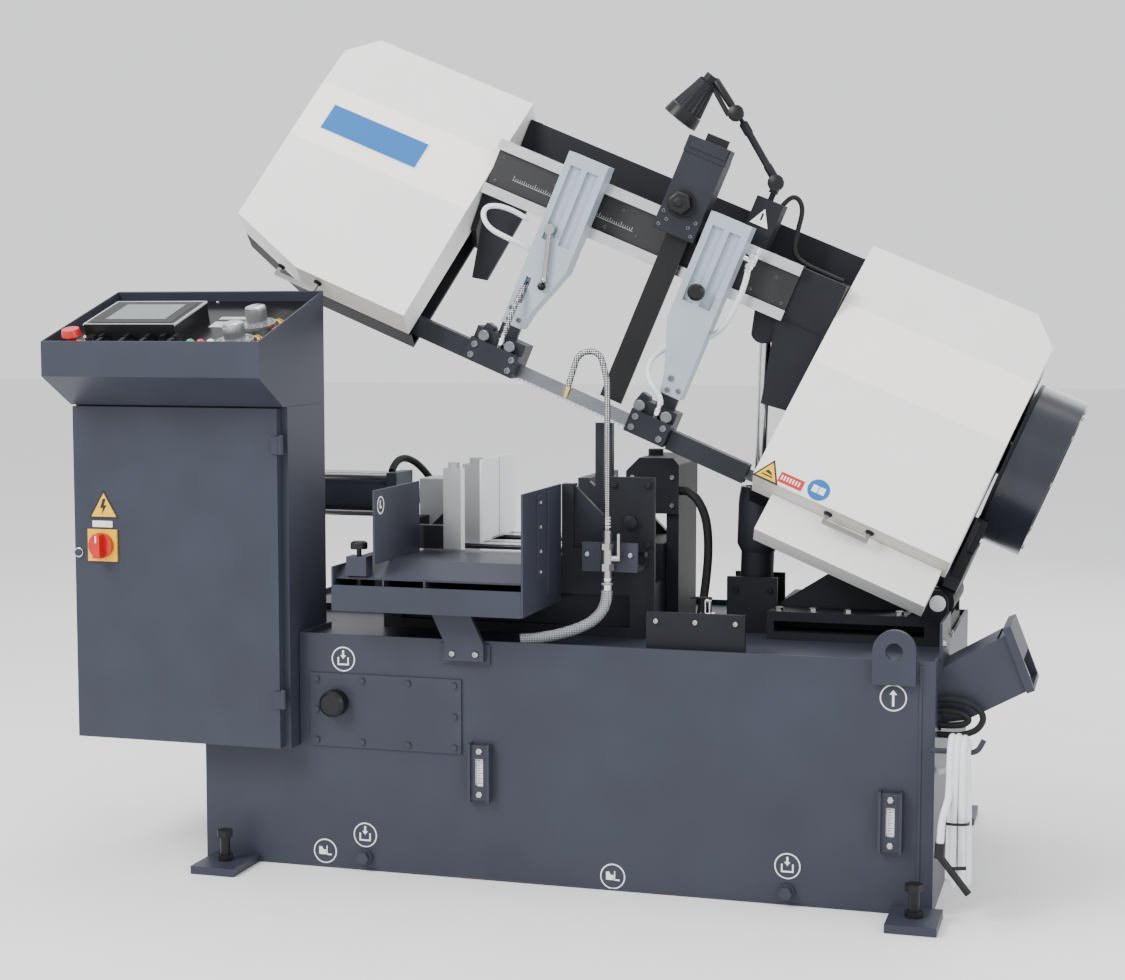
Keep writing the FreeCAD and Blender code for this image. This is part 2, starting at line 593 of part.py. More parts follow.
def inset(outline, by):
    """The outline moved inwards by a sheet's thickness."""
    corners = [V(x, z, 0) for x, z in outline]
    loop = Part.Wire(Part.makePolygon(corners + corners[:1]))
    inner = loop.makeOffset2D(-by, 2)
    area = [Part.Face(wire).Area for wire in (loop, inner)]
    if area[1] > area[0]:
        inner = loop.makeOffset2D(by, 2)
    return [(point.X, point.Y) for point in inner.OrderedVertexes]


def cover_profile(outline, out):
    """Side view of a cover: three shallow facets in front, flat at the back; out moves it inwards."""
    bulge = -d.cover_bulge + out
    low, high = -d.cover_height - 5, 5
    return [(out, high), (bulge, -147), (bulge, -292), (out, low), (300, low), (300, high)]


def cover(label, outline, handle_x):
    sheet_metal = d.cover_sheet
    xs = [x for x, _ in outline]
    left, width = min(xs) - 5, max(xs) - min(xs) + 10
    outer = common(prism("y", outline, -20, d.cover_depth + 20),
                   prism("x", cover_profile(outline, 0), left, width))
    inner = common(prism("y", inset(outline, sheet_metal), -20, d.cover_depth + 40),
                   prism("x", cover_profile(outline, sheet_metal), left, width))
    low = -d.cover_height
    grip = prism("y", [(handle_x, low - 0.5), (handle_x, low - 24), (handle_x + 96, low - 24),
                       (handle_x + 96, low - 0.5), (handle_x + 88, low - 0.5), (handle_x + 88, low - 16),
                       (handle_x + 8, low - 16), (handle_x + 8, low - 0.5)], 22, 8)
    sub_part(label, grouped(cut(outer, inner), grip), HEAD_TILT)


def wheel_box(outline, open_side):
    """Back plate and rim of a wheel housing, open towards the beam."""
    depth, plate = d.back_plate_depth, d.back_plate
    whole = prism("y", outline, d.cover_depth + 3, depth + plate - d.cover_depth - 3)
    hollow = prism("y", inset(outline, 4), d.cover_depth + 2, depth - d.cover_depth - 2)
    side = span((open_side - 30, open_side + 30), (d.cover_depth + 2, depth), (-559, -4))
    return moved(cut(whole, hollow, side), TILT)


def housing_outline(outline, by):
    """The cover's outline with its open side moved by a few millimetres to meet the end plate."""
    middle = -800
    side = max(outline)[0] if max(outline)[0] < middle else min(outline)[0]
    return [(x + by if x == side else x, z) for x, z in outline]


def end_plate(x):
    """Plate that joins the beam to a wheel housing, with a window for the returning blade."""
    def back(level):
        depth = d.back_plate_depth
        return (d.tilt_y + depth * cos(radians(d.wheel_tilt)) + level * sin(radians(d.wheel_tilt)),
                d.tilt_z - depth * sin(radians(d.wheel_tilt)) + level * cos(radians(d.wheel_tilt)))
    outline = [(d.beam_front, d.beam_low), (d.beam_front, d.beam_high), (100, d.beam_high), (100, d.web_top),
               (150, d.web_top), back(-6), back(-300), (-10, 300)]
    window = span((x - 1, x + 14), (74, 118), (378, 418))
    return cut(prism("x", outline, x, 12), window)


def head_frame():
    """Welded head: box beam, upright web, wheel housings, gussets, lift lugs and the pivot tube."""
    left, right, wall = d.beam_left, d.beam_right, d.beam_wall
    beam = cut(span((left, right), (d.beam_front, d.beam_back), (d.beam_low, d.beam_high)),
               span((left - 1, right + 1), (d.beam_front + wall, d.beam_back - wall),
                    (d.beam_low + wall, d.beam_high - wall)))
    shelf = span((left, right), (d.beam_back - 1, d.web_back), (d.beam_high - wall, d.beam_high))
    web = span((left, right), (d.web_back - 8, d.web_back), (d.beam_high - wall, d.web_top))
    ledge = prism("x", [(10, d.beam_low), (46, 300), (52, 300), (20, d.beam_low)], -520, 96)
    left_gusset = prism("y", [(-1196, 385), (-1100, 385), (-1126, 213), (-1158, 206)], -20, 10)
    right_gusset = prism("y", [(-530, 385), (-428, 385), (-428, 218), (-489, 210)], -20, 10)
    tension_slide = moved(span((-1475, -1365), (121.5, d.back_plate_depth + 1),
                               (d.wheel_level - 46, d.wheel_level + 46)), TILT)
    spindle = moved(rod((d.left_wheel_x, 84, d.wheel_level), (0, 1, 0), "spindle_radius", 60), TILT)
    lugs = []
    for y in (d.lift_y - 28, d.lift_y + 14):
        lugs.append(prism("y", [(-580, 386), (-510, 386), (-525, 330),
                                round_end((d.lift_top_x, d.lift_top_z), 25, -37, -143)], y, 14))
    pin = rod((d.lift_top_x, d.lift_y - 28, d.lift_top_z), (0, 1, 0), "lift_pin_radius", 56)
    arm_plates = [span((-1, 8.5), (-76, 150), (0, 177)), span((-1, 21), (-76, 150), (0, 112))]
    worm, engine = (d.worm_y, d.worm_z), (d.motor_y, d.motor_z)
    guard_base = cut(prism("x", hull_outline(worm, d.guard_radius - 4, engine, d.motor_end_radius - 4), 0.5, 8),
                     rod((0, *worm), (1, 0, 0), 40, 15), rod((0, *engine), (1, 0, 0), 40, 15))
    pivot_tube = rod((0, -76, 0), (0, 1, 0), "pivot_tube_radius", 226)
    brace = moved(span((-90, 22), (128, 140), (-562, -400)), TILT)
    whole = fused(beam, shelf, web, ledge, left_gusset, right_gusset, end_plate(d.beam_left - 10),
                  end_plate(d.beam_right - 4), wheel_box(housing_outline(LEFT_OUTLINE, 4), -1201),
                  wheel_box(housing_outline(RIGHT_OUTLINE, -4), -424), tension_slide, spindle, *lugs, pin,
                  *arm_plates, pivot_tube, brace, guard_base)
    shaft_hole = moved(rod((d.right_wheel_x, 80, d.wheel_level), (0, 1, 0), 31, 80), TILT)
    bore = rod((0, -80, 0), (0, 1, 0), d.pivot_radius + 0.05, 240)
    sub_part("head_frame", cut(whole, shaft_hole, bore), HEAD)


def guide_rails():
    top = block((d.rail_left, -40, 476), "rail_length", "rail_depth", "rail_height")
    low = block((d.rail_left, -40, 380), "rail_length", "rail_depth", "rail_height")
    scale = span((d.rail_left + 2, d.rail_left + d.rail_length - 2), (-27, d.beam_front), (403, 475))
    sub_part("guide_rails", grouped(top, low, scale), HEAD)


def wheel(label, x, axle):
    """Spoked band wheel; the drive wheel carries its own shaft, the idler has a bore."""
    radius, half = d.wheel_radius, d.wheel_width / 2
    depth = d.wheel_depth - half
    at = (x, depth, d.wheel_level)
    rim = cut(rod(at, (0, 1, 0), "wheel_radius", "wheel_width"),
              rod((x, depth - 1, d.wheel_level), (0, 1, 0), "wheel_radius - rim_thickness", "wheel_width + 2"))
    web = rod((x, depth + 9, d.wheel_level), (0, 1, 0), radius - d.rim_thickness + 1, "web_thickness")
    hub = rod((x, depth - 14, d.wheel_level), (0, 1, 0), "hub_radius", "hub_width - 5")
    ring = (radius - d.rim_thickness + d.hub_radius) / 2
    holes = []
    for step in range(5):
        angle = 2 * pi * step / 5
        holes.append(rod((x + ring * cos(angle), depth, d.wheel_level + ring * sin(angle)), (0, 1, 0), 36, 40))
    if axle:
        shaft = rod((x, depth - 8, d.wheel_level), (0, 1, 0), 25, 90)
        body = fused(cut(fused(rim, web, hub), *holes), shaft)
    else:
        bore = rod((x, depth - 20, d.wheel_level), (0, 1, 0), "spindle_radius + 0.05", 80)
        body = cut(fused(rim, web, hub), *holes, bore)
    sub_part(label, body, HEAD_TILT)


def blade_section(x, y, z, lean):
    """A rectangle of blade square to X; lean is the angle of its width from straight down."""
    across, thick = V(0, sin(radians(lean)), -cos(radians(lean))), V(0, cos(radians(lean)), sin(radians(lean)))
    half_w, half_t = d.blade_width / 2, d.blade_thickness / 2
    centre = V(x, y, z)
    corners = [centre + across * (half_w * i) + thick * (half_t * j)
               for i, j in ((-1, -1), (1, -1), (1, 1), (-1, 1))]
    return Part.makePolygon(corners + corners[:1])


def blade():
    """Endless blade: half turns on the wheels, a straight return, and a lower run twisted upright."""
    lean = 90 - d.wheel_tilt
    path_radius = d.wheel_radius + 0.2 + d.blade_thickness / 2
    tilt = radians(d.wheel_tilt)
    centre = V(0, d.tilt_y + d.wheel_depth * cos(tilt) + d.wheel_level * sin(tilt),
               d.tilt_z - d.wheel_depth * sin(tilt) + d.wheel_level * cos(tilt))
    up = V(0, sin(tilt), cos(tilt))
    axle = V(0, cos(tilt), -sin(tilt))
    top, low = centre + up * path_radius, centre - up * path_radius
    straight = V(0, d.blade_y, d.blade_level)
    left, right = d.left_wheel_x, d.right_wheel_x
    guide_left, guide_right = -1081, -619
    pieces = []
    for x, turn in ((left, 180), (right, -180)):
        section = Part.Face(blade_section(x, top.y, top.z, lean))
        pieces.append(section.revolve(V(x, centre.y, centre.z), axle, -turn))
    pieces.append(Part.makeLoft([blade_section(left, top.y, top.z, lean),
                                 blade_section(right, top.y, top.z, lean)], True, True))
    for start, end in ((left, guide_left), (right, guide_right)):
        sections = []
        for step in range(7):
            share = step / 6
            at = low * (1 - share) + straight * share
            sections.append(blade_section(start + (end - start) * share, at.y, at.z, lean * (1 - share)))
        pieces.append(Part.makeLoft(sections, True, True))
    pieces.append(Part.makeLoft([blade_section(guide_left, straight.y, straight.z, 0),
                                 blade_section(guide_right, straight.y, straight.z, 0)], True, True))
    loop = pieces[0].multiFuse(pieces[1:])
    solids = loop.Solids
    print(f"blade: {len(solids)} solid, length {2 * (right - left) + 2 * pi * path_radius:.0f} mm")
    sub_part("blade", shaped(solids[0] if len(solids) == 1 else loop), HEAD)


def lower_blade_guard():
    outline = [(52, -564), (110, -564), (110, -646), (52, -646)]
    outer = prism("x", outline, -376, 359)
    inner = span((-374, -19), (54, 111), (-644, -562))
    sub_part("lower_blade_guard", cut(outer, inner), HEAD_TILT)


def gearbox():
    """Worm reducer on the back of the drive wheel's housing, drawn in the tilted frame."""
    x, level = d.right_wheel_x, d.wheel_level
    body = span((x - 75, x + 75), (140.2, 226), (level - 80, level + 150))
    flange = rod((x, 140.2, level), (0, 1, 0), 80, 12)
    offset = V(0, d.worm_y - d.tilt_y, d.worm_z - d.tilt_z)
    tilt = radians(d.wheel_tilt)
    worm = V(0, offset.y * cos(tilt) - offset.z * sin(tilt), offset.y * sin(tilt) + offset.z * cos(tilt))
    neck = rod((x + 70, worm.y, worm.z), (1, 0, 0), 36, -x - 72)
    input_bore = rod((-60, worm.y, worm.z), (1, 0, 0), 12.06, 70)
    output_bore = rod((x, 135, level), (0, 1, 0), 25.06, 60)
    sub_part("gearbox", cut(fused(body, flange, neck), input_bore, output_bore), HEAD_TILT)


def motor():
    at = (-d.motor_length, d.motor_y, d.motor_z)
    body = rod(at, (1, 0, 0), "motor_radius", "motor_length")
    fan_cover = rod((at[0] - 50, at[1], at[2]), (1, 0, 0), d.motor_radius - 4, 52)
    box = span((-170, -60), (d.motor_y - 45, d.motor_y + 45), (d.motor_z + 60, d.motor_z + 118))
    cradle = span((-200, -20), (d.worm_y + 45, d.motor_y),
                  (d.motor_z - d.motor_radius - 12, d.motor_z - d.motor_radius + 8))
    bore = rod((-60, d.motor_y, d.motor_z), (1, 0, 0), 10.06, 70)
    sub_part("motor", cut(fused(body, fan_cover, box, cradle), bore), HEAD)


def hull_outline(centre_a, radius_a, centre_b, radius_b):
    """Outline of a belt round two circles, as two arcs joined by tangents."""
    dx, dy = centre_b[0] - centre_a[0], centre_b[1] - centre_a[1]
    base = degrees(atan2(dy, dx))
    spread = degrees(acos((radius_a - radius_b) / sqrt(dx * dx + dy * dy)))
    start = radians(base + spread)
    first = (centre_a[0] + radius_a * cos(start), centre_a[1] + radius_a * sin(start))
    low = radians(base - spread)
    other = (centre_b[0] + radius_b * cos(low), centre_b[1] + radius_b * sin(low))
    return [first, round_end(centre_a, radius_a, base + spread, base + 360 - spread), other,
            round_end(centre_b, radius_b, base - spread, base + spread)]


def belt_drive():
    worm, engine = (d.worm_y, d.worm_z), (d.motor_y, d.motor_z)
    outer = prism("x", hull_outline(worm, d.guard_radius, engine, d.motor_end_radius), d.guard_left,
                  "guard_width")
    inner = prism("x", hull_outline(worm, d.guard_radius - 2, engine, d.motor_end_radius - 2),
                  d.guard_left + 3, "guard_width - 5")
    holes = [rod((0, *worm), (1, 0, 0), 40, 15), rod((0, *engine), (1, 0, 0), 40, 15)]
    sub_part("belt_guard", cut(outer, inner, *holes), HEAD)
    belt_left = 34
    for label, at, radius, bore in (("input_pulley", worm, "input_radius", 12),
                                    ("motor_pulley", engine, "motor_pulley_radius", 10)):
        sheave = fused(rod((belt_left - 4, *at), (1, 0, 0), radius, d.belt_width + 8),
                       rod((-50, *at), (1, 0, 0), bore, belt_left + 85))
        groove = cut(rod((belt_left - 0.4, *at), (1, 0, 0), radius + " + 1", d.belt_width + 0.8),
                     rod((belt_left - 1, *at), (1, 0, 0), radius + " - belt_thickness - 0.4", d.belt_width + 2))
        sub_part(label, cut(sheave, groove), HEAD)
    outside = prism("x", hull_outline(worm, d.input_radius, engine, d.motor_pulley_radius), belt_left,
                    "belt_width")
    thick = d.belt_thickness
    inside = prism("x", hull_outline(worm, d.input_radius - thick, engine, d.motor_pulley_radius - thick),
                   belt_left - 1, "belt_width + 2")
    sub_part("drive_belt", cut(outside, inside), HEAD)


# ---------------------------------------------------------------- blade guides, feeler and lamp

def guide_arm(label, edge, face):
    """Tapered cast arm that hooks over both rails; edge is its straight side, face the way it widens."""
    wide, low, high, knee = 90, 156, 530, 300
    toe = 44
    outline = [(edge, high), (edge + face * wide, high), (edge + face * wide, knee),
               (edge + face * (toe + 8), low + 40), (edge + face * toe, low), (edge, low)]
    if face < 0:
        outline = outline[::-1]
    plate = prism("y", outline, d.arm_front, d.arm_back - d.arm_front)
    x_low = min(edge, edge + face * wide) + 4
    hook_top = span((x_low, x_low + wide - 8), (d.arm_back - 1, -23), (498.5, 512))
    hook_low = span((x_low, x_low + wide - 8), (d.arm_back - 1, -23), (360, 379.5))
    pockets = []
    for at in (10, 47):
        pockets.append(span((x_low + at, x_low + at + 25), (d.arm_front - 1, d.arm_front + 8), (345, 505)))
    if face > 0:
        pockets.append(span((edge + 14, edge + 26), (d.arm_front - 1, d.arm_front + 14), (206, 262)))
    sub_part(label, cut(fused(plate, hook_top, hook_low), *pockets), HEAD)


def guide_head(label, x, guard_x, neck_x):
    """Guide block with carbide cheeks either side of the blade, its roller and the channel guard."""
    y_low, y_high = d.blade_y - d.guide_depth / 2, d.blade_y + d.guide_depth / 2
    body = span(x, (y_low, y_high), (60, 132))
    slot = span((x[0] - 1, x[1] + 1), (d.blade_y - 1.5, d.blade_y + 1.5), (50, d.blade_level + 14.4))
    neck = span(neck_x, (d.arm_front + 2, y_high - 16), (131, 155.6))
    relief = span((x[0] - 1, x[1] + 1), (y_low - 1, y_low + 16), (108, 140))
    low, high = guard_x
    channel = cut(span((low, high), (d.blade_y - 15, d.blade_y + 15), (57, 97)),
                  span((low - 1, high + 1), (d.blade_y - 11, d.blade_y + 11), (50, 93.5)))
    sub_part(label, grouped(cut(fused(body, neck), slot, relief), channel), HEAD)


def lock_lever():
    """Clamp lever of the left arm: boss, slim handle and ball tip."""
    at = (-1017, d.arm_front - 0.4, 369)
    boss = rod(at, (0, -1, 0), 11, 14)
    handle = rod((at[0], at[1] - 9, at[2]), (30, 0, -104), 5, 104)
    tip = doc.addObject("Part::Sphere", "Ball")
    bind(tip, Radius=7)
    tip.Placement.Base = V(at[0] + 29, at[1] - 9, at[2] - 100)
    sub_part("lock_lever", fused(boss, handle, tip), HEAD)


def feeler():
    """Clamp on the upper rail and the flat bar that feels for the work."""
    body = span((-821, -732), (-92, d.arm_back), (455, 630))
    channel = span((-796, -747), (-62.6, -55.4), (400, 660))
    top = span((-814, -733), (-98, d.arm_back), (630, 652))
    taper_cut = prism("y", [(-822, 454), (-822, 500), (-806, 454)], -100, 70)
    nut = fused(hexagon((-784, -92, 520), (0, -1, 0), 20, 12), rod((-784, -104, 520), (0, -1, 0), 10, 12))
    hook = span((-812, -740), (d.arm_back - 1, -23), (498.5, 512))
    sub_part("feeler_clamp", cut(fused(body, top, nut, hook), channel, taper_cut), HEAD)
    sub_part("feeler_bar", span((-795.5, -747.5), (-62, -56), (97, 668)), HEAD)


def lamp():
    """Work lamp on the beam: switch box with knuckle, slim arm, and a finned conical head."""
    y = d.lamp_y
    low, top = (d.lamp_base_x, y, d.lamp_base_z), (d.lamp_top_x, y, d.lamp_top_z)
    box = span((-662, -604), (-20, 30), (d.beam_high, 592))
    post = fused(rod((low[0], y, 590), (0, 0, 1), 6, 26),
                 span((low[0] - 8, low[0] + 8), (y - 12, y - 6.3), (612, 638)),
                 span((low[0] - 8, low[0] + 8), (y - 12, y + 6), (606, 616)))
    sub_part("lamp_box", fused(box, post), HEAD)
    run = V(top[0] - low[0], 0, top[2] - low[2])
    arm = rod(low, (run.x, 0, run.z), 4.5, run.Length)
    knuckles = [rod((low[0], y - 6, low[2]), (0, 1, 0), 10, 12), rod((top[0], y - 6, top[2]), (0, 1, 0), 10, 12)]
    sub_part("lamp_arm", fused(arm, *knuckles), HEAD)
    aim = V(-31, 0, -109).normalize()
    cap = V(-847, y, 777)
    head = fused(rod(cap, aim, 14, 20), taper(cap + aim * 18, aim, 20, 37, 92))
    hollow = taper(cap + aim * 30, aim, 16, 33.5, 82)
    neck = rod(cap + aim * 12, (top[0] - 6 - cap.x, -12.5, top[2] - 2 - cap.z), 5, 84)
    fork = span((top[0] - 11, top[0] + 9), (y - 16, y - 6.3), (top[2] - 10, top[2] + 12))
    neck = cut(neck, span((-860, -700), (y - 6.2, y + 40), (700, 756)))
    sub_part("lamp_head", fused(cut(head, hollow), neck, fork), HEAD)


# ---------------------------------------------------------------- lift cylinder

def lift_axis():
    """Top pin and foot of the cylinder in the floor frame, with the unit vector upwards."""
    top = HEAD.multVec(V(d.lift_top_x, d.lift_y, d.lift_top_z))
    foot = V(d.lift_foot_x, d.lift_y, d.lift_foot_z)
    up = V(top - foot).normalize()
    return top, foot, up


def lift_cylinder():
    top, foot, up = lift_axis()
    eye = cut(fused(rod(top - V(0, 9, 0), (0, 1, 0), 20, 18),
                    rod(top - up * 12, -up, "lift_rod_radius", 392)),
              rod(top - V(0, 20, 0), (0, 1, 0), "lift_pin_radius + 0.06", 40))
    sub_part("lift_rod", eye)
    low = foot - up * 20
    barrel = cut(rod(low, up, "lift_barrel_radius", "lift_barrel_length + 20"),
                 rod(foot + up * 12, up, "lift_bore_radius", 300),
                 rod(foot - V(0, 60, 0), (0, 1, 0), "lift_pin_radius + 0.06", 120))
    collar = cut(rod(foot + up * 236, up, "lift_barrel_radius + 4", 24),
                 rod(foot + up * 200, up, "lift_bore_radius", 100))
    sub_part("lift_barrel", fused(barrel, collar))


# ---------------------------------------------------------------- coolant, chute, hoses

GOOSE = [(84, 690), (84, 985), (68, 1042), (26, 1040), (4, 972)]
SUPPLY = [(84, -240, 586), (84, -241, 556), (76, -243, 530), (58, -249, 510), (32, -261, 496), (0, -277, 486),
          (-36, -294, 479), (-74, -310, 476.5)]


def coolant_line():
    y = d.gooseneck_y
    points = [(px, y, pz) for px, pz in GOOSE]
    hose = tube("gooseneck", points, d.gooseneck_radius)
    end = V(*points[-1])
    way = (end - V(*points[-2])).normalize()
    nozzle = taper(end, way, 8, 5, 22)
    x = GOOSE[0][0]
    valve = fused(rod((x, y, 586.3), (0, 0, 1), 10, 24), hexagon((x, y, 610), (0, 0, 1), 14, 14),
                  rod((x, y, 618), (0, 0, 1), 12, 34), hexagon((x, y, 652), (0, 0, 1), 14, 12),
                  rod((x, y, 660), (0, 0, 1), 9, 29.7), rod((x, y, 634), (1, 0, 0), 7, 20))
    bracket = fused(span((x - 55, x + 58), (y + 14, y + 22), (606, 664)),
                    span((x - 12, x + 12), (y, y + 15), (620, 650)),
                    span((x - 55, x + 58), (y + 22, -158.2), (606, 614)))
    sub_part("coolant_valve", grouped(fused(valve, bracket), grouped(hose, nozzle)))
    lever = fused(rod((x + 20.4, y, 634), (1, 0, 0), 7, 6), span((x + 22, x + 27), (y - 5, y + 5), (630, 638)),
                  span((x + 22, x + 27), (y - 6, y + 6), (634, 684)))
    sub_part("valve_lever", lever)
    sub_part("supply_hose", tube("supply_hose", SUPPLY, d.supply_radius))


def chip_chute():
    """Square duct that leaves the base's right side and turns its mouth up and out."""
    outer = prism("y", [(HALF_X, 350), (HALF_X, 452), (858, 522), (896, 418), (790, 360)], -280, 150)
    inner = prism("y", [(HALF_X - 5, 356), (HALF_X - 5, 448), (858, 516), (900, 425), (790, 366)], -276, 142)
    mouth_out = prism("y", [(852, 534), (866, 540), (912, 422), (898, 416)], -288, 166)
    mouth_in = prism("y", [(840, 513), (870, 522), (912, 430), (880, 418)], -276, 142)
    end_plate_piece = span((HALF_X, HALF_X + 5), (-288, -122), (338, 540))
    opening = span((HALF_X - 1, HALF_X + 6), (-276, -134), (356, 448))
    sub_part("chip_chute", cut(fused(outer, mouth_out, end_plate_piece), inner, mouth_in, opening))


COIL_CENTRE = (786, -372, 208)
TAIL = [(772, -425, 246), (768, -441, 232), (763, -450, 212), (761, -453, 192), (760, -453, 168)]


def wash_hose():
    """Wash-down hose hung in a coil on a hook at the base's right end, with its bent trigger nozzle."""
    x, y, z = COIL_CENTRE
    half, rise = 60, 92
    outline = [(y - half, z - rise), round_end((y, z - rise), half, 180, 360), (y + half, z + rise),
               round_end((y, z + rise), half, 0, 180)]
    hole = [(y - half + 34, z - rise), round_end((y, z - rise), half - 34, 180, 360), (y + half - 34, z + rise),
            round_end((y, z + rise), half - 34, 0, 180)]
    coil = cut(prism("x", outline, x - 26, 52), prism("x", hole, x - 27, 54))
    sub_part("wash_hose_coil", coil)
    sub_part("wash_hose_tail", tube("wash_hose_tail", TAIL, d.wash_radius))
    tip = V(*TAIL[-1])
    grip = rod(tip, tip - V(*TAIL[-2]), 9, 28)
    bend = tip - V(1, 0, 24)
    barrel = rod(bend, (0.62, 0, -0.78), 6.5, 84)
    trigger = rod(bend + V(18, 0, -22), (0.95, 0, 0.1), 3.5, 30)
    sub_part("wash_nozzle", fused(grip, barrel, trigger))


CABLE_LOOPS = [[(HALF_X, -299, 400), (775, -299, 400), (806, -300, 392), (824, -300, 370), (812, -300, 346),
                (782, -299, 333), (HALF_X, -299, 333)],
               [(HALF_X, -299, 379), (764, -299, 379), (786, -300, 374), (797, -300, 364), (786, -300, 354),
                (764, -299, 351), (HALF_X, -299, 351)]]


def cable_loops():
    sub_part("cable_loops", grouped(*[tube("cable_loop", route, d.cable_radius) for route in CABLE_LOOPS]))


def build():
    base_cabinet()
    levelling_bolts()
    base_fittings()
    filler_cap()
    electrical_cabinet()
    cabinet_door()
    isolator_knob()
    console_housing()
    console_panel()
    hmi_screen()
    desk_controls()
    front_tray()
    vise_bed()
    wear_strips()
    fixed_jaw()
    moving_jaw()
    vise_drive()
    hydraulic_unit()
    saw_bed()
    head_frame()
    guide_rails()
    cover("left_cover", LEFT_OUTLINE, -1505)
    cover("right_cover", RIGHT_OUTLINE, -262)
    wheel("drive_wheel", d.right_wheel_x, True)
    wheel("idler_wheel", d.left_wheel_x, False)
    blade()
    lower_blade_guard()
    gearbox()
    motor()
    belt_drive()
    guide_arm("left_guide_arm", -1043, 1)
    guide_arm("right_guide_arm", -633, -1)
    guide_head("left_guide_head", (-1079, -967), (-1215, -1081), (-1041, -1000))
    guide_head("right_guide_head", (-709, -621), (-619, -447), (-676, -636))
    lock_lever()
    feeler()
    lamp()
    lift_cylinder()
    coolant_line()
    chip_chute()
    wash_hose()
    cable_loops()


def check_and_write():
    doc.recompute()
    for item in doc.Objects:
        if "Invalid" in item.State or "Error" in item.State:
            raise RuntimeError(f"{item.Name} ({item.Label}) failed: {item.State}")
    for item in SUB_PARTS:
        if item.Shape.isNull() or not item.Shape.isValid() or not item.Shape.Solids:
            raise RuntimeError(f"{item.Label} has no valid shape")
    os.makedirs("parts", exist_ok=True)
    for item in SUB_PARTS:
        item.Shape.exportStep(f"parts/{item.Label}.step")
    print(f"{len(SUB_PARTS)} sub-parts written")


build()
check_and_write()
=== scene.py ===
"""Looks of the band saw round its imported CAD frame. Details are drawn in millimetres in the frame of
the assembly that carries them (floor, head, tilted wheel cover, control desk) and turned into place."""
import math
import random

import bmesh
import bpy
from mathutils import Matrix, Vector


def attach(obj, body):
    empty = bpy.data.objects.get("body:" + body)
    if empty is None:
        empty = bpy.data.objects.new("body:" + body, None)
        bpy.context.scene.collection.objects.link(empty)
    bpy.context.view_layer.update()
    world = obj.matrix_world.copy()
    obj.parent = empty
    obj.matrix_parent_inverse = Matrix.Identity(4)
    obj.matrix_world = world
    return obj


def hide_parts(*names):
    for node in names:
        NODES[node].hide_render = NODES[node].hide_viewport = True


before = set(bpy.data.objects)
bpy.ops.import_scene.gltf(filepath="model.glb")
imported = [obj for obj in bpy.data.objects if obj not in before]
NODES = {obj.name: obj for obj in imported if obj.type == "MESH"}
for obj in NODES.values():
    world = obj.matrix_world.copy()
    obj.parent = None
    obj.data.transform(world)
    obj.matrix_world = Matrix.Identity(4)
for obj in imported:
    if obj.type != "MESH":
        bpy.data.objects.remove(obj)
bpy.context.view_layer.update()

MM = 0.001
HEAD_ANGLE = 23
WHEEL_TILT = 30
PIVOT = (715, 0, 550)
DESK_ORIGIN = (-997, -521, 1061)
DESK_SLOPE = math.degrees(math.atan2(1163 - 1061, -206 + 521))
PANEL_TOP = -20
BASE_FRONT = -350
DOOR_FRONT = -412
COVER_FRONT = -8
SCALE_FRONT = -27
ARM_FRONT = -85
GUIDE_FRONT = -125
SHARP_DEGREES = 32
BEVEL_DEGREES = 40
CAMERA_MM = 63.2
CAMERA_AT = (1.083, -3.979, 1.098)
CAMERA_TURN = (85.15, 0, 16.26)
LIGHT_AIM = (-0.1, 0, 0.8)
LIGHTS = (("key", (-2.4, -3.2, 3.6), 210, 1.8), ("fill", (3.4, -2.6, 2.2), 60, 2.4),
          ("top", (0.2, 0.4, 4.2), 90, 3.2), ("rim", (1.5, 3.6, 3.0), 60, 2.4))


def placed(origin, angle, axis):
    """Frame at origin in millimetres, turned by angle degrees about one of its axes."""
    return Matrix.Translation(origin) @ Matrix.Rotation(math.radians(angle), 4, axis)


FLOOR = Matrix.Identity(4)
HEAD = placed(PIVOT, HEAD_ANGLE, "Y")
TILT = HEAD @ placed((0, 81, 586), -WHEEL_TILT, "X")
DESK = placed(DESK_ORIGIN, DESK_SLOPE, "X")


# ---------------------------------------------------------------- materials

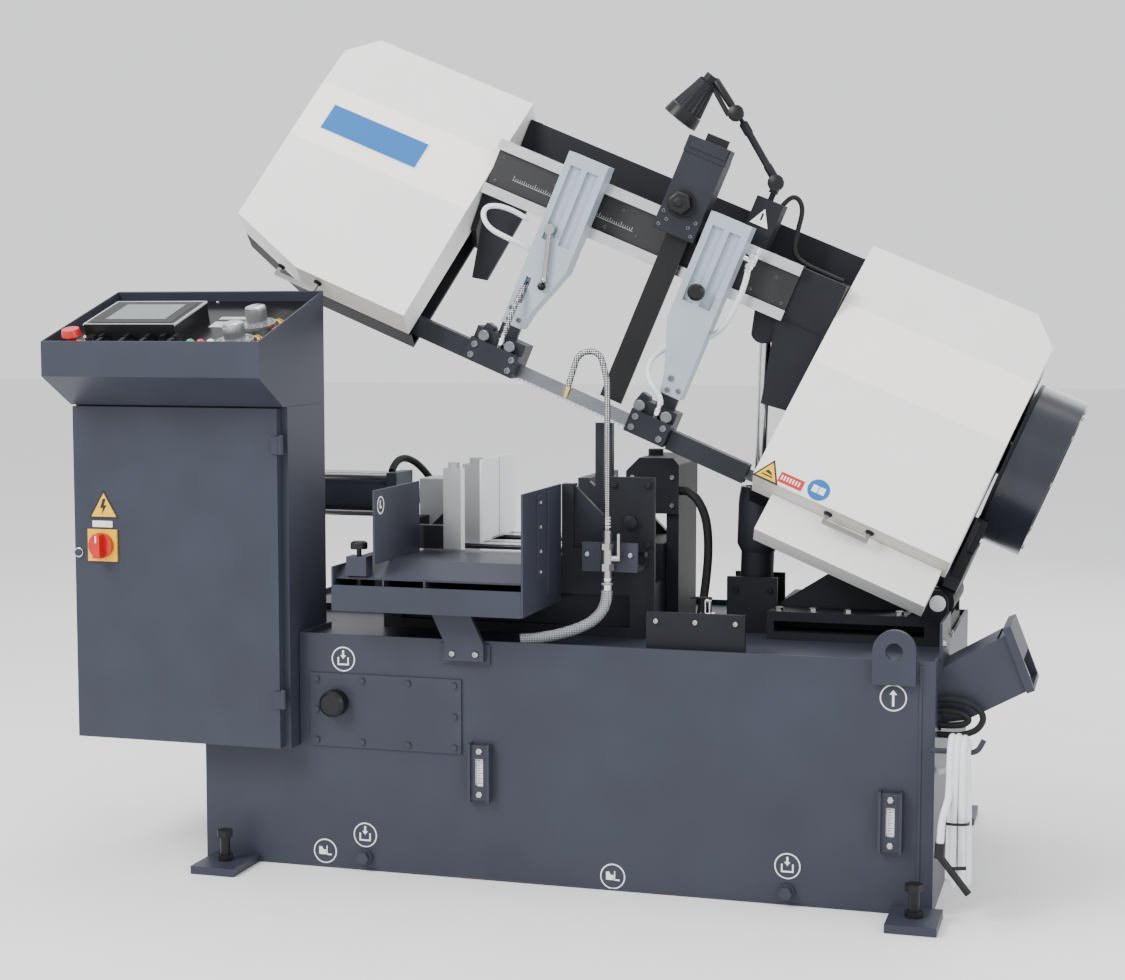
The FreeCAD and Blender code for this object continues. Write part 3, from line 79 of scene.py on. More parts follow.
def material(name, colour, rough, metal=0.0, grain=0.0, grain_size=300.0, mottling=0.06, coat=0.0,
             stretch=(1, 1, 1), specular=0.5):
    """Painted, cast or machined surface: mottled colour, uneven gloss and a fine bump."""
    made = bpy.data.materials.new(name)
    made.use_nodes = True
    nodes, links = made.node_tree.nodes, made.node_tree.links
    shader = nodes["Principled BSDF"]
    shader.inputs["Metallic"].default_value = metal
    shader.inputs["Coat Weight"].default_value = coat
    shader.inputs["Coat Roughness"].default_value = 0.25
    shader.inputs["Specular IOR Level"].default_value = specular
    place = nodes.new("ShaderNodeTexCoord")
    scale = nodes.new("ShaderNodeMapping")
    scale.inputs["Scale"].default_value = stretch
    links.new(place.outputs["Object"], scale.inputs["Vector"])
    clouds = nodes.new("ShaderNodeTexNoise")
    clouds.inputs["Scale"].default_value = 7.0
    clouds.inputs["Detail"].default_value = 5.0
    links.new(scale.outputs["Vector"], clouds.inputs["Vector"])
    tint = nodes.new("ShaderNodeValToRGB")
    tint.color_ramp.elements[0].position = 0.3
    tint.color_ramp.elements[1].position = 0.7
    tint.color_ramp.elements[0].color = (*[c * (1 - mottling) for c in colour], 1)
    tint.color_ramp.elements[1].color = (*[min(1, c * (1 + mottling)) for c in colour], 1)
    links.new(clouds.outputs["Fac"], tint.inputs["Fac"])
    links.new(tint.outputs["Color"], shader.inputs["Base Color"])
    gloss = nodes.new("ShaderNodeMapRange")
    gloss.inputs["To Min"].default_value = max(0.03, rough - 0.06)
    gloss.inputs["To Max"].default_value = min(1.0, rough + 0.06)
    links.new(clouds.outputs["Fac"], gloss.inputs["Value"])
    links.new(gloss.outputs["Result"], shader.inputs["Roughness"])
    if grain:
        fine = nodes.new("ShaderNodeTexNoise")
        fine.inputs["Scale"].default_value = grain_size
        fine.inputs["Detail"].default_value = 3.0
        links.new(scale.outputs["Vector"], fine.inputs["Vector"])
        bump = nodes.new("ShaderNodeBump")
        bump.inputs["Strength"].default_value = grain
        bump.inputs["Distance"].default_value = 0.0006
        links.new(fine.outputs["Fac"], bump.inputs["Height"])
        links.new(bump.outputs["Normal"], shader.inputs["Normal"])
    return made


def braid(name, light, dark, rough, metal):
    """Woven sleeve of a hose: two crossing bands of strands."""
    made = material(name, light, rough, metal)
    nodes, links = made.node_tree.nodes, made.node_tree.links
    shader = nodes["Principled BSDF"]
    place = nodes.new("ShaderNodeTexCoord")
    heights = []
    for direction in ("X", "Z"):
        wave = nodes.new("ShaderNodeTexWave")
        wave.bands_direction = direction
        wave.inputs["Scale"].default_value = 70.0
        links.new(place.outputs["Object"], wave.inputs["Vector"])
        heights.append(wave)
    weave = nodes.new("ShaderNodeMath")
    weave.operation = "MULTIPLY"
    links.new(heights[0].outputs["Fac"], weave.inputs[0])
    links.new(heights[1].outputs["Fac"], weave.inputs[1])
    tint = nodes.new("ShaderNodeValToRGB")
    tint.color_ramp.elements[0].color = (*dark, 1)
    tint.color_ramp.elements[1].color = (*light, 1)
    tint.color_ramp.elements[1].position = 0.5
    links.new(weave.outputs["Value"], tint.inputs["Fac"])
    links.new(tint.outputs["Color"], shader.inputs["Base Color"])
    bump = nodes.new("ShaderNodeBump")
    bump.inputs["Strength"].default_value = 0.6
    bump.inputs["Distance"].default_value = 0.001
    links.new(weave.outputs["Value"], bump.inputs["Height"])
    links.new(bump.outputs["Normal"], shader.inputs["Normal"])
    return made


BASE_PAINT = material("base_paint", (0.033, 0.036, 0.052), 0.42, grain=0.10, grain_size=420,
                      mottling=0.10, specular=0.25)
BLACK_PAINT = material("black_paint", (0.010, 0.011, 0.015), 0.52, grain=0.12, grain_size=300,
                       mottling=0.2, specular=0.2)
COVER_PAINT = material("cover_paint", (0.79, 0.785, 0.76), 0.5, grain=0.06, grain_size=600,
                       mottling=0.015)
# Lighter, warmer copy of the cover paint: painted highlight for the light falling on the covers' proud middle
# band.
COVER_PAINTED_HIGHLIGHT = material("cover_painted_highlight", (0.93, 0.905, 0.83), 0.46, grain=0.06, grain_size=600,
                      mottling=0.012)
# Darker copy of the cover paint: painted shade on the covers' underside strip just above the grips.
COVER_PAINTED_SHADE = material("cover_painted_shade", (0.62, 0.59, 0.52), 0.5, grain=0.06, grain_size=600,
                       mottling=0.02)
GUARD_GLOSS = material("guard_gloss", (0.016, 0.018, 0.026), 0.26, coat=0.25, mottling=0.08,
                       specular=0.3)
BLADE_STEEL = material("blade_steel", (0.20, 0.21, 0.23), 0.34, metal=0.9, grain=0.15, grain_size=120,
                       stretch=(1, 10, 10))
GRIP_STEEL = material("grip_steel", (0.30, 0.29, 0.28), 0.28, metal=1.0, mottling=0.1)
PANEL_GLOSS = material("panel_gloss", (0.006, 0.006, 0.007), 0.2, mottling=0.1, specular=0.16)
KNOB_SILVER = material("knob_silver", (0.50, 0.51, 0.52), 0.3, metal=0.85, mottling=0.05)
ARM_PAINT = material("arm_paint", (0.34, 0.40, 0.46), 0.4, grain=0.25, grain_size=160, mottling=0.05)
CASTING = material("casting", (0.016, 0.018, 0.024), 0.46, grain=0.5, grain_size=120, mottling=0.25,
                   specular=0.25)
CAST_GREY = material("cast_grey", (0.36, 0.37, 0.38), 0.45, metal=0.3, grain=0.3, grain_size=160)
GROUND = material("ground_steel", (0.72, 0.72, 0.73), 0.24, metal=1.0, grain=0.12, grain_size=90,
                  stretch=(1, 12, 12))
BRIGHT_FACE = material("bright_face", (0.95, 0.96, 0.97), 0.4, metal=0.15, grain=0.05, grain_size=200,
                       mottling=0.02)
MACHINED = material("machined_steel", (0.55, 0.55, 0.56), 0.3, metal=1.0, grain=0.2, grain_size=160)
ZINC = material("zinc", (0.44, 0.43, 0.42), 0.3, metal=1.0, grain=0.1, grain_size=80, mottling=0.12)
CHROME = material("chrome", (0.82, 0.82, 0.83), 0.12, metal=1.0, mottling=0.02)
BRASS = material("brass", (0.62, 0.45, 0.20), 0.3, metal=1.0, mottling=0.1)
BLACK_PLASTIC = material("black_plastic", (0.010, 0.010, 0.011), 0.36, grain=0.2, grain_size=700,
                         specular=0.25)
GREY_PLASTIC = material("grey_plastic", (0.42, 0.43, 0.44), 0.42, grain=0.15, grain_size=500)
LIGHT_PLASTIC = material("light_plastic", (0.74, 0.74, 0.73), 0.4, grain=0.08, grain_size=500)
RED = material("red_plastic", (0.52, 0.003, 0.002), 0.28, coat=0.4, mottling=0.04)
YELLOW = material("yellow_paint", (0.84, 0.46, 0.0), 0.36, mottling=0.04)
BLUE = material("badge_blue", (0.0, 0.115, 0.36), 0.34, coat=0.3, mottling=0.03)
GREEN = material("green_ink", (0.03, 0.36, 0.10), 0.4, mottling=0.04)
WHITE_INK = material("white_ink", (0.80, 0.80, 0.78), 0.5, mottling=0.03)
BLACK_INK = material("black_ink", (0.008, 0.008, 0.009), 0.5, mottling=0.05)
RUBBER = material("rubber", (0.010, 0.010, 0.011), 0.6, grain=0.3, grain_size=260, specular=0.25)
SCREEN = material("screen_face", (0.16, 0.18, 0.18), 0.14, mottling=0.08, specular=0.3)
LAMP_GLASS = material("lamp_glass", (0.75, 0.76, 0.78), 0.08, coat=1.0, mottling=0.03)
HOSE_WHITE = material("hose_white", (0.72, 0.74, 0.76), 0.34, coat=0.3, mottling=0.05, grain=0.1,
                      grain_size=200)
STEEL_BRAID = braid("steel_braid", (0.66, 0.66, 0.67), (0.05, 0.05, 0.06), 0.34, 1.0)
GREY_BRAID = braid("grey_braid", (0.52, 0.54, 0.56), (0.20, 0.21, 0.23), 0.5, 0.1)

NODE_LOOKS = {
    BASE_PAINT: "base_cabinet base_fittings electrical_cabinet cabinet_door console_housing front_tray "
                "chip_chute vise_cylinder",
    GUARD_GLOSS: "belt_guard",
    BLACK_PAINT: "head_frame lamp_box gearbox motor hydraulic_unit lamp_head lamp_arm saw_bed lift_barrel",
    CASTING: "vise_bed fixed_jaw left_guide_head right_guide_head feeler_clamp",
    COVER_PAINT: "left_cover right_cover lower_blade_guard",
    ARM_PAINT: "left_guide_arm right_guide_arm",
    GROUND: "guide_rails wear_strips pivot_shaft lift_rod",
    BLADE_STEEL: "blade",
    CAST_GREY: "moving_jaw",
    MACHINED: "drive_wheel idler_wheel input_pulley motor_pulley",
    ZINC: "valve_lever lock_lever",
    CHROME: "start_button",
    BLACK_PLASTIC: "hmi_screen panel_fittings selector_left selector_right filler_cap levelling_bolts "
                   "feeler_bar wash_nozzle",
    PANEL_GLOSS: "console_panel",
    KNOB_SILVER: "feed_knob pressure_knob",
    RED: "stop_button isolator_knob",
    RUBBER: "drive_belt cable_loops",
    STEEL_BRAID: "coolant_valve",
    GREY_BRAID: "supply_hose",
}
EDGES = {"base_cabinet": 1.5, "electrical_cabinet": 1.5, "cabinet_door": 2, "console_housing": 2,
         "front_tray": 1, "left_cover": 0.9, "right_cover": 0.9, "lower_blade_guard": 0.9,
         "left_guide_arm": 3, "right_guide_arm": 3, "left_guide_head": 2, "right_guide_head": 2,
         "feeler_clamp": 2, "fixed_jaw": 1.5, "hydraulic_unit": 3, "chip_chute": 1, "moving_jaw": 2,
         "saw_bed": 1.2, "guide_rails": 0.8, "head_frame": 1.2, "hmi_screen": 2, "vise_bed": 2,
         "vise_cylinder": 2, "belt_guard": 2, "motor": 2, "isolator_knob": 2, "lamp_box": 2,
         "stop_button": 2, "feed_knob": 2, "pressure_knob": 2, "filler_cap": 2, "gearbox": 4}


def soften(body, width):
    """Small bevel on the sharp edges of a body."""
    bevel = body.modifiers.new("edges", "BEVEL")
    bevel.width = width * MM
    bevel.segments = 2
    bevel.limit_method = "ANGLE"
    bevel.angle_limit = math.radians(BEVEL_DEGREES)


def dress_nodes():
    """Material and edge width of every CAD node."""
    for look, names in NODE_LOOKS.items():
        for name in names.split():
            node = NODES[name]
            node.data.materials.clear()
            node.data.materials.append(look)
    for name, width in EDGES.items():
        soften(NODES[name], width)


def repaint(name, look, place, test):
    """Faces of a CAD node whose centre, in place's frame and millimetres, passes the test."""
    mesh = NODES[name].data
    mesh.materials.append(look)
    index = len(mesh.materials) - 1
    back = place.inverted()
    for face in mesh.polygons:
        centre = back @ (face.center / MM)
        if test(centre):
            face.material_index = index


def repaint_nodes():
    """Second colours of nodes that are one solid: rails' plate, jaw faces, valve, grips, and cover bands that
    are a painted highlight on the middle band and painted shade along the underside.
    """
    repaint("guide_rails", BLACK_INK, HEAD, lambda c: 402 < c.z < 476 and c.y > -28)
    repaint("moving_jaw", BRIGHT_FACE, FLOOR, lambda c: c.x > -250.5)
    repaint("moving_jaw", CASTING, FLOOR, lambda c: c.x < -289 and c.z < 681)
    repaint("moving_jaw", GROUND, FLOOR, lambda c: c.x < -419)
    repaint("cabinet_door", YELLOW, FLOOR,
            lambda c: c.y < DOOR_FRONT - 0.5 and -962 < c.x < -895 and 614 < c.z < 681)
    repaint("coolant_valve", ZINC, FLOOR, lambda c: c.z < 690)
    repaint("coolant_valve", BASE_PAINT, FLOOR, lambda c: c.y > -227)
    repaint("coolant_valve", BRASS, FLOOR, lambda c: c.x < 12 and c.z < 975)
    repaint("panel_fittings", KNOB_SILVER, DESK, lambda c: c.x > 350)
    repaint("panel_fittings", YELLOW, DESK, lambda c: c.x < 72 and c.y < 60)
    for name in ("left_cover", "right_cover"):
        # Painted highlight: the proud middle band of each cover's front gets the lighter copy of the paint.
        repaint(name, COVER_PAINTED_HIGHLIGHT, TILT, lambda c: c.y < -7.5 and -293 < c.z < -146)
        # Painted shade: the underside strip above the grip gets the darker copy of the paint.
        repaint(name, COVER_PAINTED_SHADE, TILT, lambda c: -563.6 < c.z < -560 and c.y > 0)
        repaint(name, GRIP_STEEL, TILT, lambda c: c.z < -563.6)


# ---------------------------------------------------------------- mesh building

def cuboid(x, y, z):
    """A block between two limits on each axis."""
    corners = [(a, b, c) for a in x for b in y for c in z]
    faces = [(0, 1, 3, 2), (4, 6, 7, 5), (0, 4, 5, 1), (2, 3, 7, 6), (0, 2, 6, 4), (1, 5, 7, 3)]
    return corners, faces


def turned_to(axis):
    """Rotation that carries the z axis onto axis."""
    return Vector((0, 0, 1)).rotation_difference(Vector(axis)).to_matrix()


def lathe(start, axis, profile, sides=32, tube=False):
    """A solid of revolution: profile is (distance along the axis, radius) pairs, a closed loop for a tube."""
    turn, start = turned_to(axis), Vector(start)
    points, faces = [], []
    for along, radius in profile:
        for step in range(sides):
            angle = math.tau * step / sides
            points.append(start + turn @ Vector((radius * math.cos(angle), radius * math.sin(angle), along)))
    last = (len(profile) - 1) * sides
    for row in range(len(profile) if tube else len(profile) - 1):
        for step in range(sides):
            following = (step + 1) % sides
            a, b = row * sides, (row + 1) % len(profile) * sides
            faces.append((a + step, a + following, b + following, b + step))
    if not tube:
        faces.append(tuple(reversed(range(sides))))
        faces.append(tuple(last + step for step in range(sides)))
    return points, faces


def disc(start, axis, radius, thick, sides=32):
    """A plain round plate."""
    return lathe(start, axis, [(0, radius), (thick, radius)], sides)


def ring(start, axis, inner, outer, thick, first=0, last=360, sides=40):
    """A flat ring or a sector of one, square to the axis."""
    turn, start = turned_to(axis), Vector(start)
    points, faces = [], []
    whole = last - first >= 360
    count = sides if whole else sides + 1
    for step in range(count):
        angle = math.radians(first + (last - first) * step / sides)
        for radius in (inner, outer):
            for along in (0, thick):
                flat = Vector((radius * math.cos(angle), radius * math.sin(angle), along))
                points.append(start + turn @ flat)
    for step in range(count if whole else count - 1):
        a, b = 4 * step, 4 * ((step + 1) % count)
        faces += [(a, a + 2, b + 2, b), (a + 1, b + 1, b + 3, a + 3), (a, b, b + 1, a + 1),
                  (a + 2, a + 3, b + 3, b + 2)]
    if not whole:
        end = 4 * (count - 1)
        faces += [(0, 1, 3, 2), (end, end + 2, end + 3, end + 1)]
    return points, faces


def slab(outline, axis, start, thick):
    """A flat plate: outline in the plane square to 'x', 'y' or 'z', thick along it."""
    order = {"x": lambda p, w: (w, p[0], p[1]), "y": lambda p, w: (p[0], w, p[1]),
             "z": lambda p, w: (p[0], p[1], w)}[axis]
    count = len(outline)
    points = [order(p, start) for p in outline] + [order(p, start + thick) for p in outline]
    faces = [tuple(range(count)), tuple(reversed(range(count, 2 * count)))]
    faces += [(i, i + count, (i + 1) % count + count, (i + 1) % count) for i in range(count)]
    return points, faces


def cap_screw(at, axis, radius=5, height=5):
    """Socket-head screw with a round recess."""
    r, h = radius, height
    return [lathe(at, axis, [(0, r), (h - 1, r), (h, r - 0.8), (h, r * 0.55), (h - 2.5, r * 0.5)], 24)]


def hex_bolt(at, axis, radius=9, height=6):
    """Hexagon head on a round washer."""
    washer = lathe(at, axis, [(0, radius * 1.25), (1.5, radius * 1.25), (1.5, radius)], 28)
    head = lathe(at, axis, [(1.5, radius), (height, radius), (height + 1.2, radius * 0.8)], 6)
    return [washer, head]


def piece(name, body, place, look, shapes, edge=0.0):
    """One object from several closed shapes, riding on a body."""
    mesh = bpy.data.meshes.new(name)
    build = bmesh.new()
    for points, faces in shapes:
        made = [build.verts.new(Vector(p)) for p in points]
        for face in faces:
            build.faces.new([made[i] for i in face])
    bmesh.ops.recalc_face_normals(build, faces=build.faces)
    build.to_mesh(mesh)
    build.free()
    mesh.transform(Matrix.Scale(MM, 4) @ place)
    for face in mesh.polygons:
        face.use_smooth = True
    mesh.set_sharp_from_angle(angle=math.radians(SHARP_DEGREES))
    mesh.materials.append(look)
    made = bpy.data.objects.new(name, mesh)
    bpy.context.scene.collection.objects.link(made)
    if edge:
        soften(made, edge)
    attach(made, body)
    return made


def hose(name, body, place, look, points, radius):
    """A smooth round hose whose control points are given in millimetres."""
    curve = bpy.data.curves.new(name, "CURVE")
    curve.dimensions = "3D"
    line = curve.splines.new("NURBS")
    line.points.add(len(points) - 1)
    for control, point in zip(line.points, points):
        control.co = (*((place @ Vector(point)) * MM), 1)
    line.order_u = 3
    line.use_endpoint_u = True
    line.resolution_u = 8
    curve.bevel_depth = radius * MM
    curve.bevel_resolution = 5
    curve.use_fill_caps = True
    curve.materials.append(look)
    made = bpy.data.objects.new(name, curve)
    bpy.context.scene.collection.objects.link(made)
    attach(made, body)
    return made


# ---------------------------------------------------------------- camera, light and floor

def set_stage():
    """Camera, floor, sky and four soft lights."""
    camera_data = bpy.data.cameras.new("camera")
    camera_data.lens = CAMERA_MM
    camera_data.sensor_width = 36
    camera_data.clip_end = 50
    camera = bpy.data.objects.new("camera", camera_data)
    camera.location = CAMERA_AT
    camera.rotation_euler = [math.radians(angle) for angle in CAMERA_TURN]
    bpy.context.scene.collection.objects.link(camera)
    bpy.context.scene.camera = camera
    mesh = bpy.data.meshes.new("floor")
    side, low = 30, -0.0005
    mesh.from_pydata([(-side, -side, low), (side, -side, low), (side, side, low), (-side, side, low)], [],
                     [(0, 1, 2, 3)])
    mesh.materials.append(material("floor_grey", (0.86, 0.86, 0.86), 0.7, mottling=0.01))
    ground = bpy.data.objects.new("floor", mesh)
    bpy.context.scene.collection.objects.link(ground)
    world = bpy.data.worlds.new("studio")
    world.use_nodes = True
    sky = world.node_tree.nodes["Background"]
    sky.inputs["Color"].default_value = (0.97, 0.98, 1.0, 1)
    sky.inputs["Strength"].default_value = 1.25
    bpy.context.scene.world = world
    for name, at, power, size in LIGHTS:
        light = bpy.data.lights.new(name, "AREA")
        light.energy = power
        light.size = size
        lamp = bpy.data.objects.new(name, light)
        lamp.location = at
        aim = Vector(LIGHT_AIM) - Vector(at)
        lamp.rotation_euler = aim.to_track_quat("-Z", "Y").to_euler()
        bpy.context.scene.collection.objects.link(lamp)


# ---------------------------------------------------------------- wash hose

COIL_CENTRE = (786, -372, 208)
COIL_TURNS = 5
TURN_POINTS = 14
TAIL = [(772, -425, 246), (768, -441, 232), (763, -450, 212), (761, -453, 192), (760, -453, 168)]


def wash_hose():
    """Hanging turns, side by side and fanned out below, as one spline with the tail to the nozzle."""
    x, y, z = COIL_CENTRE
    random.seed(4)
    route = [(742, y + 54, z + 60), (768, y + 58, z + 64), (794, y + 54, z + 74)]
    steps = COIL_TURNS * TURN_POINTS + 5
    for step in range(2, steps):
        turns = step / TURN_POINTS
        angle = math.radians(25) + math.tau * turns
        across = 44 + 6 * math.cos(math.pi * (turns + 0.57)) + random.uniform(-1, 1)
        along = 136 + 6 * math.cos(math.pi * (turns + 0.57)) + random.uniform(-1.5, 1.5)
        fan = 19 - 4 * math.sin(angle)
        route.append((x + fan * (1 - 2 * step / steps), y + across * math.cos(angle),
                      z + along * math.sin(angle)))
    route += TAIL
    made = hose("wash_hose", "base", FLOOR, HOSE_WHITE, route, 6.6)
    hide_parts("wash_hose_coil", "wash_hose_tail")
    tie = piece("hose_tie", "base", FLOOR, BLACK_PLASTIC,
                [ring((x - 2, y - 48, z - 12), (0, 0.1, 1), 24, 25.6, 5)])


# ---------------------------------------------------------------- base details

def sign(name, x, z, marks, radius=25):
    """Round sign on the base: white disc, dark rim and a simple mark."""
    y = BASE_FRONT
    piece(name + "_disc", "base", FLOOR, WHITE_INK, [disc((x, y, z), (0, -1, 0), radius, 0.6)])
    piece(name + "_face", "base", FLOOR, BASE_PAINT,
          [ring((x, y - 0.6, z), (0, -1, 0), 0.5, radius - 2.5, 0.3)])
    shapes = [slab([(x + px, z + pz) for px, pz in outline], "y", y - 1.4, 0.6) for outline in marks]
    piece(name + "_mark", "base", FLOOR, WHITE_INK, shapes)


ARROW_DOWN = [(-2, 18), (2, 18), (2, 8), (6, 8), (0, 1), (-6, 8), (-2, 8)]
ARROW_UP = [(-2, -16), (2, -16), (2, 6), (7, 6), (0, 15), (-7, 6), (-2, 6)]
BOX_MARKS = [[(-12, -12), (12, -12), (12, -9), (-12, -9)], [(-12, -9), (-9, -9), (-9, 4), (-12, 4)],
             [(9, -9), (12, -9), (12, 4), (9, 4)]]
TRUCK_MARKS = [[(-13, -7), (2, -7), (2, 3), (-4, 3), (-7, 9), (-13, 9)],
               [(4, -8), (14, -8), (14, -5), (4, -5)], [(3, -8), (5, -8), (5, 11), (3, 11)]]


def base_details():
    """Round signs, sight gauges, the filler cap's ribs, weld lines and screws of the base."""
    sign("fill_sign", -432, 427, BOX_MARKS + [ARROW_DOWN])
    sign("lift_sign_left", -475, 33, TRUCK_MARKS)
    sign("lift_sign_right", 126, 28, TRUCK_MARKS)
    sign("drain_sign_left", -388, 72, BOX_MARKS + [ARROW_DOWN])
    sign("drain_sign_right", 467, 75, BOX_MARKS + [ARROW_DOWN])
    sign("hook_sign", 661, 407, [ARROW_UP])
    for name, x, z in (("gauge_left", -142, 217), ("gauge_right", 660, 175)):
        piece(name + "_body", "base", FLOOR, CHROME,
              [cuboid((x - 10.5, x + 10.5), (-362, -357), (z - 52, z - 29)),
               cuboid((x - 10.5, x + 10.5), (-362, -357), (z + 29, z + 52)),
               cuboid((x - 10.5, x - 7), (-361, -357), (z - 29, z + 29)),
               cuboid((x + 7, x + 10.5), (-361, -357), (z - 29, z + 29))], 0.8)
        glass = [cuboid((x - 7, x + 7), (-358.2, -355), (z - 28.5, z + 28.5))]
        piece(name + "_glass", "base", FLOOR, LIGHT_PLASTIC, glass, 1)
        ticks = []
        for step in range(10):
            tick = z - 22 + 5 * step
            ticks.append(cuboid((x - 4, x + 4 - 3 * (step % 2)), (-358.9, -358), (tick, tick + 1)))
        piece(name + "_ticks", "base", FLOOR, BLACK_INK, ticks)
        piece(name + "_screws", "base", FLOOR, ZINC,
              hex_bolt((x, -362, z + 43), (0, -1, 0), 7, 5) + hex_bolt((x, -362, z - 43), (0, -1, 0), 7, 5))
    ribs = []
    for step in range(20):
        angle = math.tau * step / 20
        x, z = -446 + 25.4 * math.cos(angle), 340 + 25.4 * math.sin(angle)
        ribs.append(cuboid((x - 1.4, x + 1.4), (-379, -356), (z - 1.4, z + 1.4)))
    piece("filler_cap_ribs", "filler_cap", FLOOR, BLACK_PLASTIC, ribs, 0.5)
    welds = [cuboid((-732, 732), (-351.2, -349), (0.5, 4)), cuboid((708, 714), (-352, -349), (5, 470))]
    piece("base_weld_lines", "base", FLOOR, BASE_PAINT, welds, 0.8)
    screws = []
    for x in (-196, -148):
        screws += cap_screw((x, -366, 452), (0, -1, 0), 6, 4)
    piece("strut_screws", "base", FLOOR, ZINC, screws)
    flange = []
    for y in (-276, -134):
        flange += hex_bolt((743, y, 500), (1, 0, 0), 6, 5)
    piece("chute_bolts", "base", FLOOR, ZINC, flange)


def cabinet_details():
    """Warning triangle, white label, lock bezel and hinge pins of the electrical cabinet."""
    y = DOOR_FRONT
    outer = [(-926 - 34, 702), (-926 + 34, 702), (-926, 760)]
    inner = [(-926 - 28, 705.5), (-926 + 28, 705.5), (-926, 753)]
    bolt = [(-928, 742), (-921, 742), (-925, 729), (-919, 729), (-931, 709), (-928, 723), (-934, 723)]
    piece("triangle_rim", "cabinet_door", FLOOR, BLACK_INK,
          [slab(outer, "y", y - 0.6, 0.6)])
    piece("triangle_face", "cabinet_door", FLOOR, YELLOW,
          [slab(inner, "y", y - 0.9, 0.4)])
    piece("triangle_mark", "cabinet_door", FLOOR, BLACK_INK,
          [slab(bolt, "y", y - 1.3, 0.5)])
    piece("isolator_label", "cabinet_door", FLOOR, WHITE_INK,
          [cuboid((-952, -907), (y - 1.2, y), (684, 697))], 0.4)
    piece("lock_bezel", "cabinet_door", FLOOR, CHROME,
          [ring((-984, y, 631), (0, -1, 0), 7, 10, 3)], 0.5)
    pins = [lathe((-535, -413, z), (0, 0, 1), [(0, 5.6), (36, 5.6), (38, 4)], 20) for z in (332, 839)]
    piece("door_hinge_pins", "base", FLOOR, BASE_PAINT, pins)
    piece("isolator_mark", "isolator_knob", FLOOR, WHITE_INK,
          [cuboid((-930, -927), (-444.6, -443.6), (655, 669))])
    seam = [cuboid((-995, -541), (-391.4, -390.4), (930, 931.5))]
    piece("cabinet_top_seam", "base", FLOOR, BLACK_INK, seam)


MOVING_SPOTS = ((169, 19), (274, 19))
DIAL_ARCS = (("red", RED, 330, 372), ("yellow", YELLOW, 20, 62), ("green", GREEN, 118, 176))


def desk_details():
    """Screen face, dial arcs, knob rims, switch bezels, lamps and legend strips."""
    top = PANEL_TOP
    rim = (top + 31, top + 35.6)
    piece("screen_bezel", "base", DESK, GREY_PLASTIC,
          [cuboid((66, 261), (62.5, 66), rim), cuboid((66, 261), (210, 213.5), rim),
           cuboid((62.5, 66), (62.5, 213.5), rim), cuboid((261, 264.5), (62.5, 213.5), rim)], 0.8)
    piece("screen_frame", "base", DESK, BLACK_PLASTIC,
          [cuboid((76, 251), (72, 204), (top + 34.6, top + 35.8))], 0.5)
    piece("screen_face", "base", DESK, SCREEN,
          [cuboid((98, 229), (92, 188), (top + 35.6, top + 36.4))], 0.3)
    for name, (x, y) in {"feed": (392, 57), "pressure": (394, 160)}.items():
        at = (x, y, top)
        for tone, look, first, last in DIAL_ARCS:
            piece(f"{name}_arc_{tone}", "base", DESK, look,
                  [ring(at, (0, 0, 1), 42, 47, 0.6, first, last, 20),
                   ring(at, (0, 0, 1), 50, 52, 0.6, first, last, 20)])
        ticks = [ring((x, y, top + 6), (0, 0, 1), 27, 33, 0.5, a, a + 2.5, 2) for a in range(0, 360, 15)]
        piece(f"{name}_dial_ticks", "base", DESK, BLACK_INK, ticks)
        knurls = []
        for step in range(36):
            angle = math.tau * step / 36
            knurl_x, knurl_y = x + 20.2 * math.cos(angle), y + 20.2 * math.sin(angle)
            knurls.append(cuboid((knurl_x - 0.8, knurl_x + 0.8), (knurl_y - 0.8, knurl_y + 0.8),
                                 (top + 8, top + 36)))
        piece(f"{name}_knob_knurls", f"{name}_knob", DESK, KNOB_SILVER, knurls)
        piece(f"{name}_knob_cap", f"{name}_knob", DESK, CHROME,
              [lathe((x, y, top + 39.3), (0, 0, 1), [(0, 15), (1.5, 15), (2.5, 13)], 32)])
    spots = [(x, 19) for x in (119, 169, 214, 274)] + [(x, 46) for x in (111, 166, 211, 244, 272)]
    bezels = [ring((x, y, top), (0, 0, 1), 11.3, 13, 2.5) for x, y in spots]
    piece("switch_bezels", "base", DESK, CHROME, bezels, 0.4)
    legends = [cuboid((x - 11, x + 11), (y + 14, y + 17), (top, top + 0.8)) for x, y in spots[:4]]
    legends += [cuboid((x + 18, x + 34), (30, 33), (top, top + 0.8)) for x in (169, 214, 274)]
    piece("switch_legends", "base", DESK, WHITE_INK, legends)
    for index, (x, look) in enumerate(((300, GREEN), (322, RED), (344, LIGHT_PLASTIC))):
        piece(f"pilot_lamp_{index}", "base", DESK, look,
              [lathe((x, 46, top), (0, 0, 1), [(0, 8), (6, 8), (9, 5)], 24)])
    piece("stop_ring", "base", DESK, YELLOW,
          [ring((49, 36, top + 3), (0, 0, 1), 10, 21, 1)], 0.3)
    strip = [cuboid((290, 352), y, (top, top + 0.8)) for y in ((150, 185), (200, 216))]
    piece("desk_plates", "base", DESK, GREY_PLASTIC, strip, 0.3)
    marks = [cuboid((x - 1, x + 1), (y - 9, y + 9), (top + 3, top + 12))
             for x, y in spots if (x, y) not in MOVING_SPOTS]
    piece("switch_marks", "base", DESK, WHITE_INK, marks)
    screws = []
    for x in (10, 234, 458):
        for y in (9, 318):
            screws += cap_screw((x, y, top), (0, 0, 1), 4, 2.5)
    piece("panel_screws", "base", DESK, ZINC, screws)


# ---------------------------------------------------------------- work area details

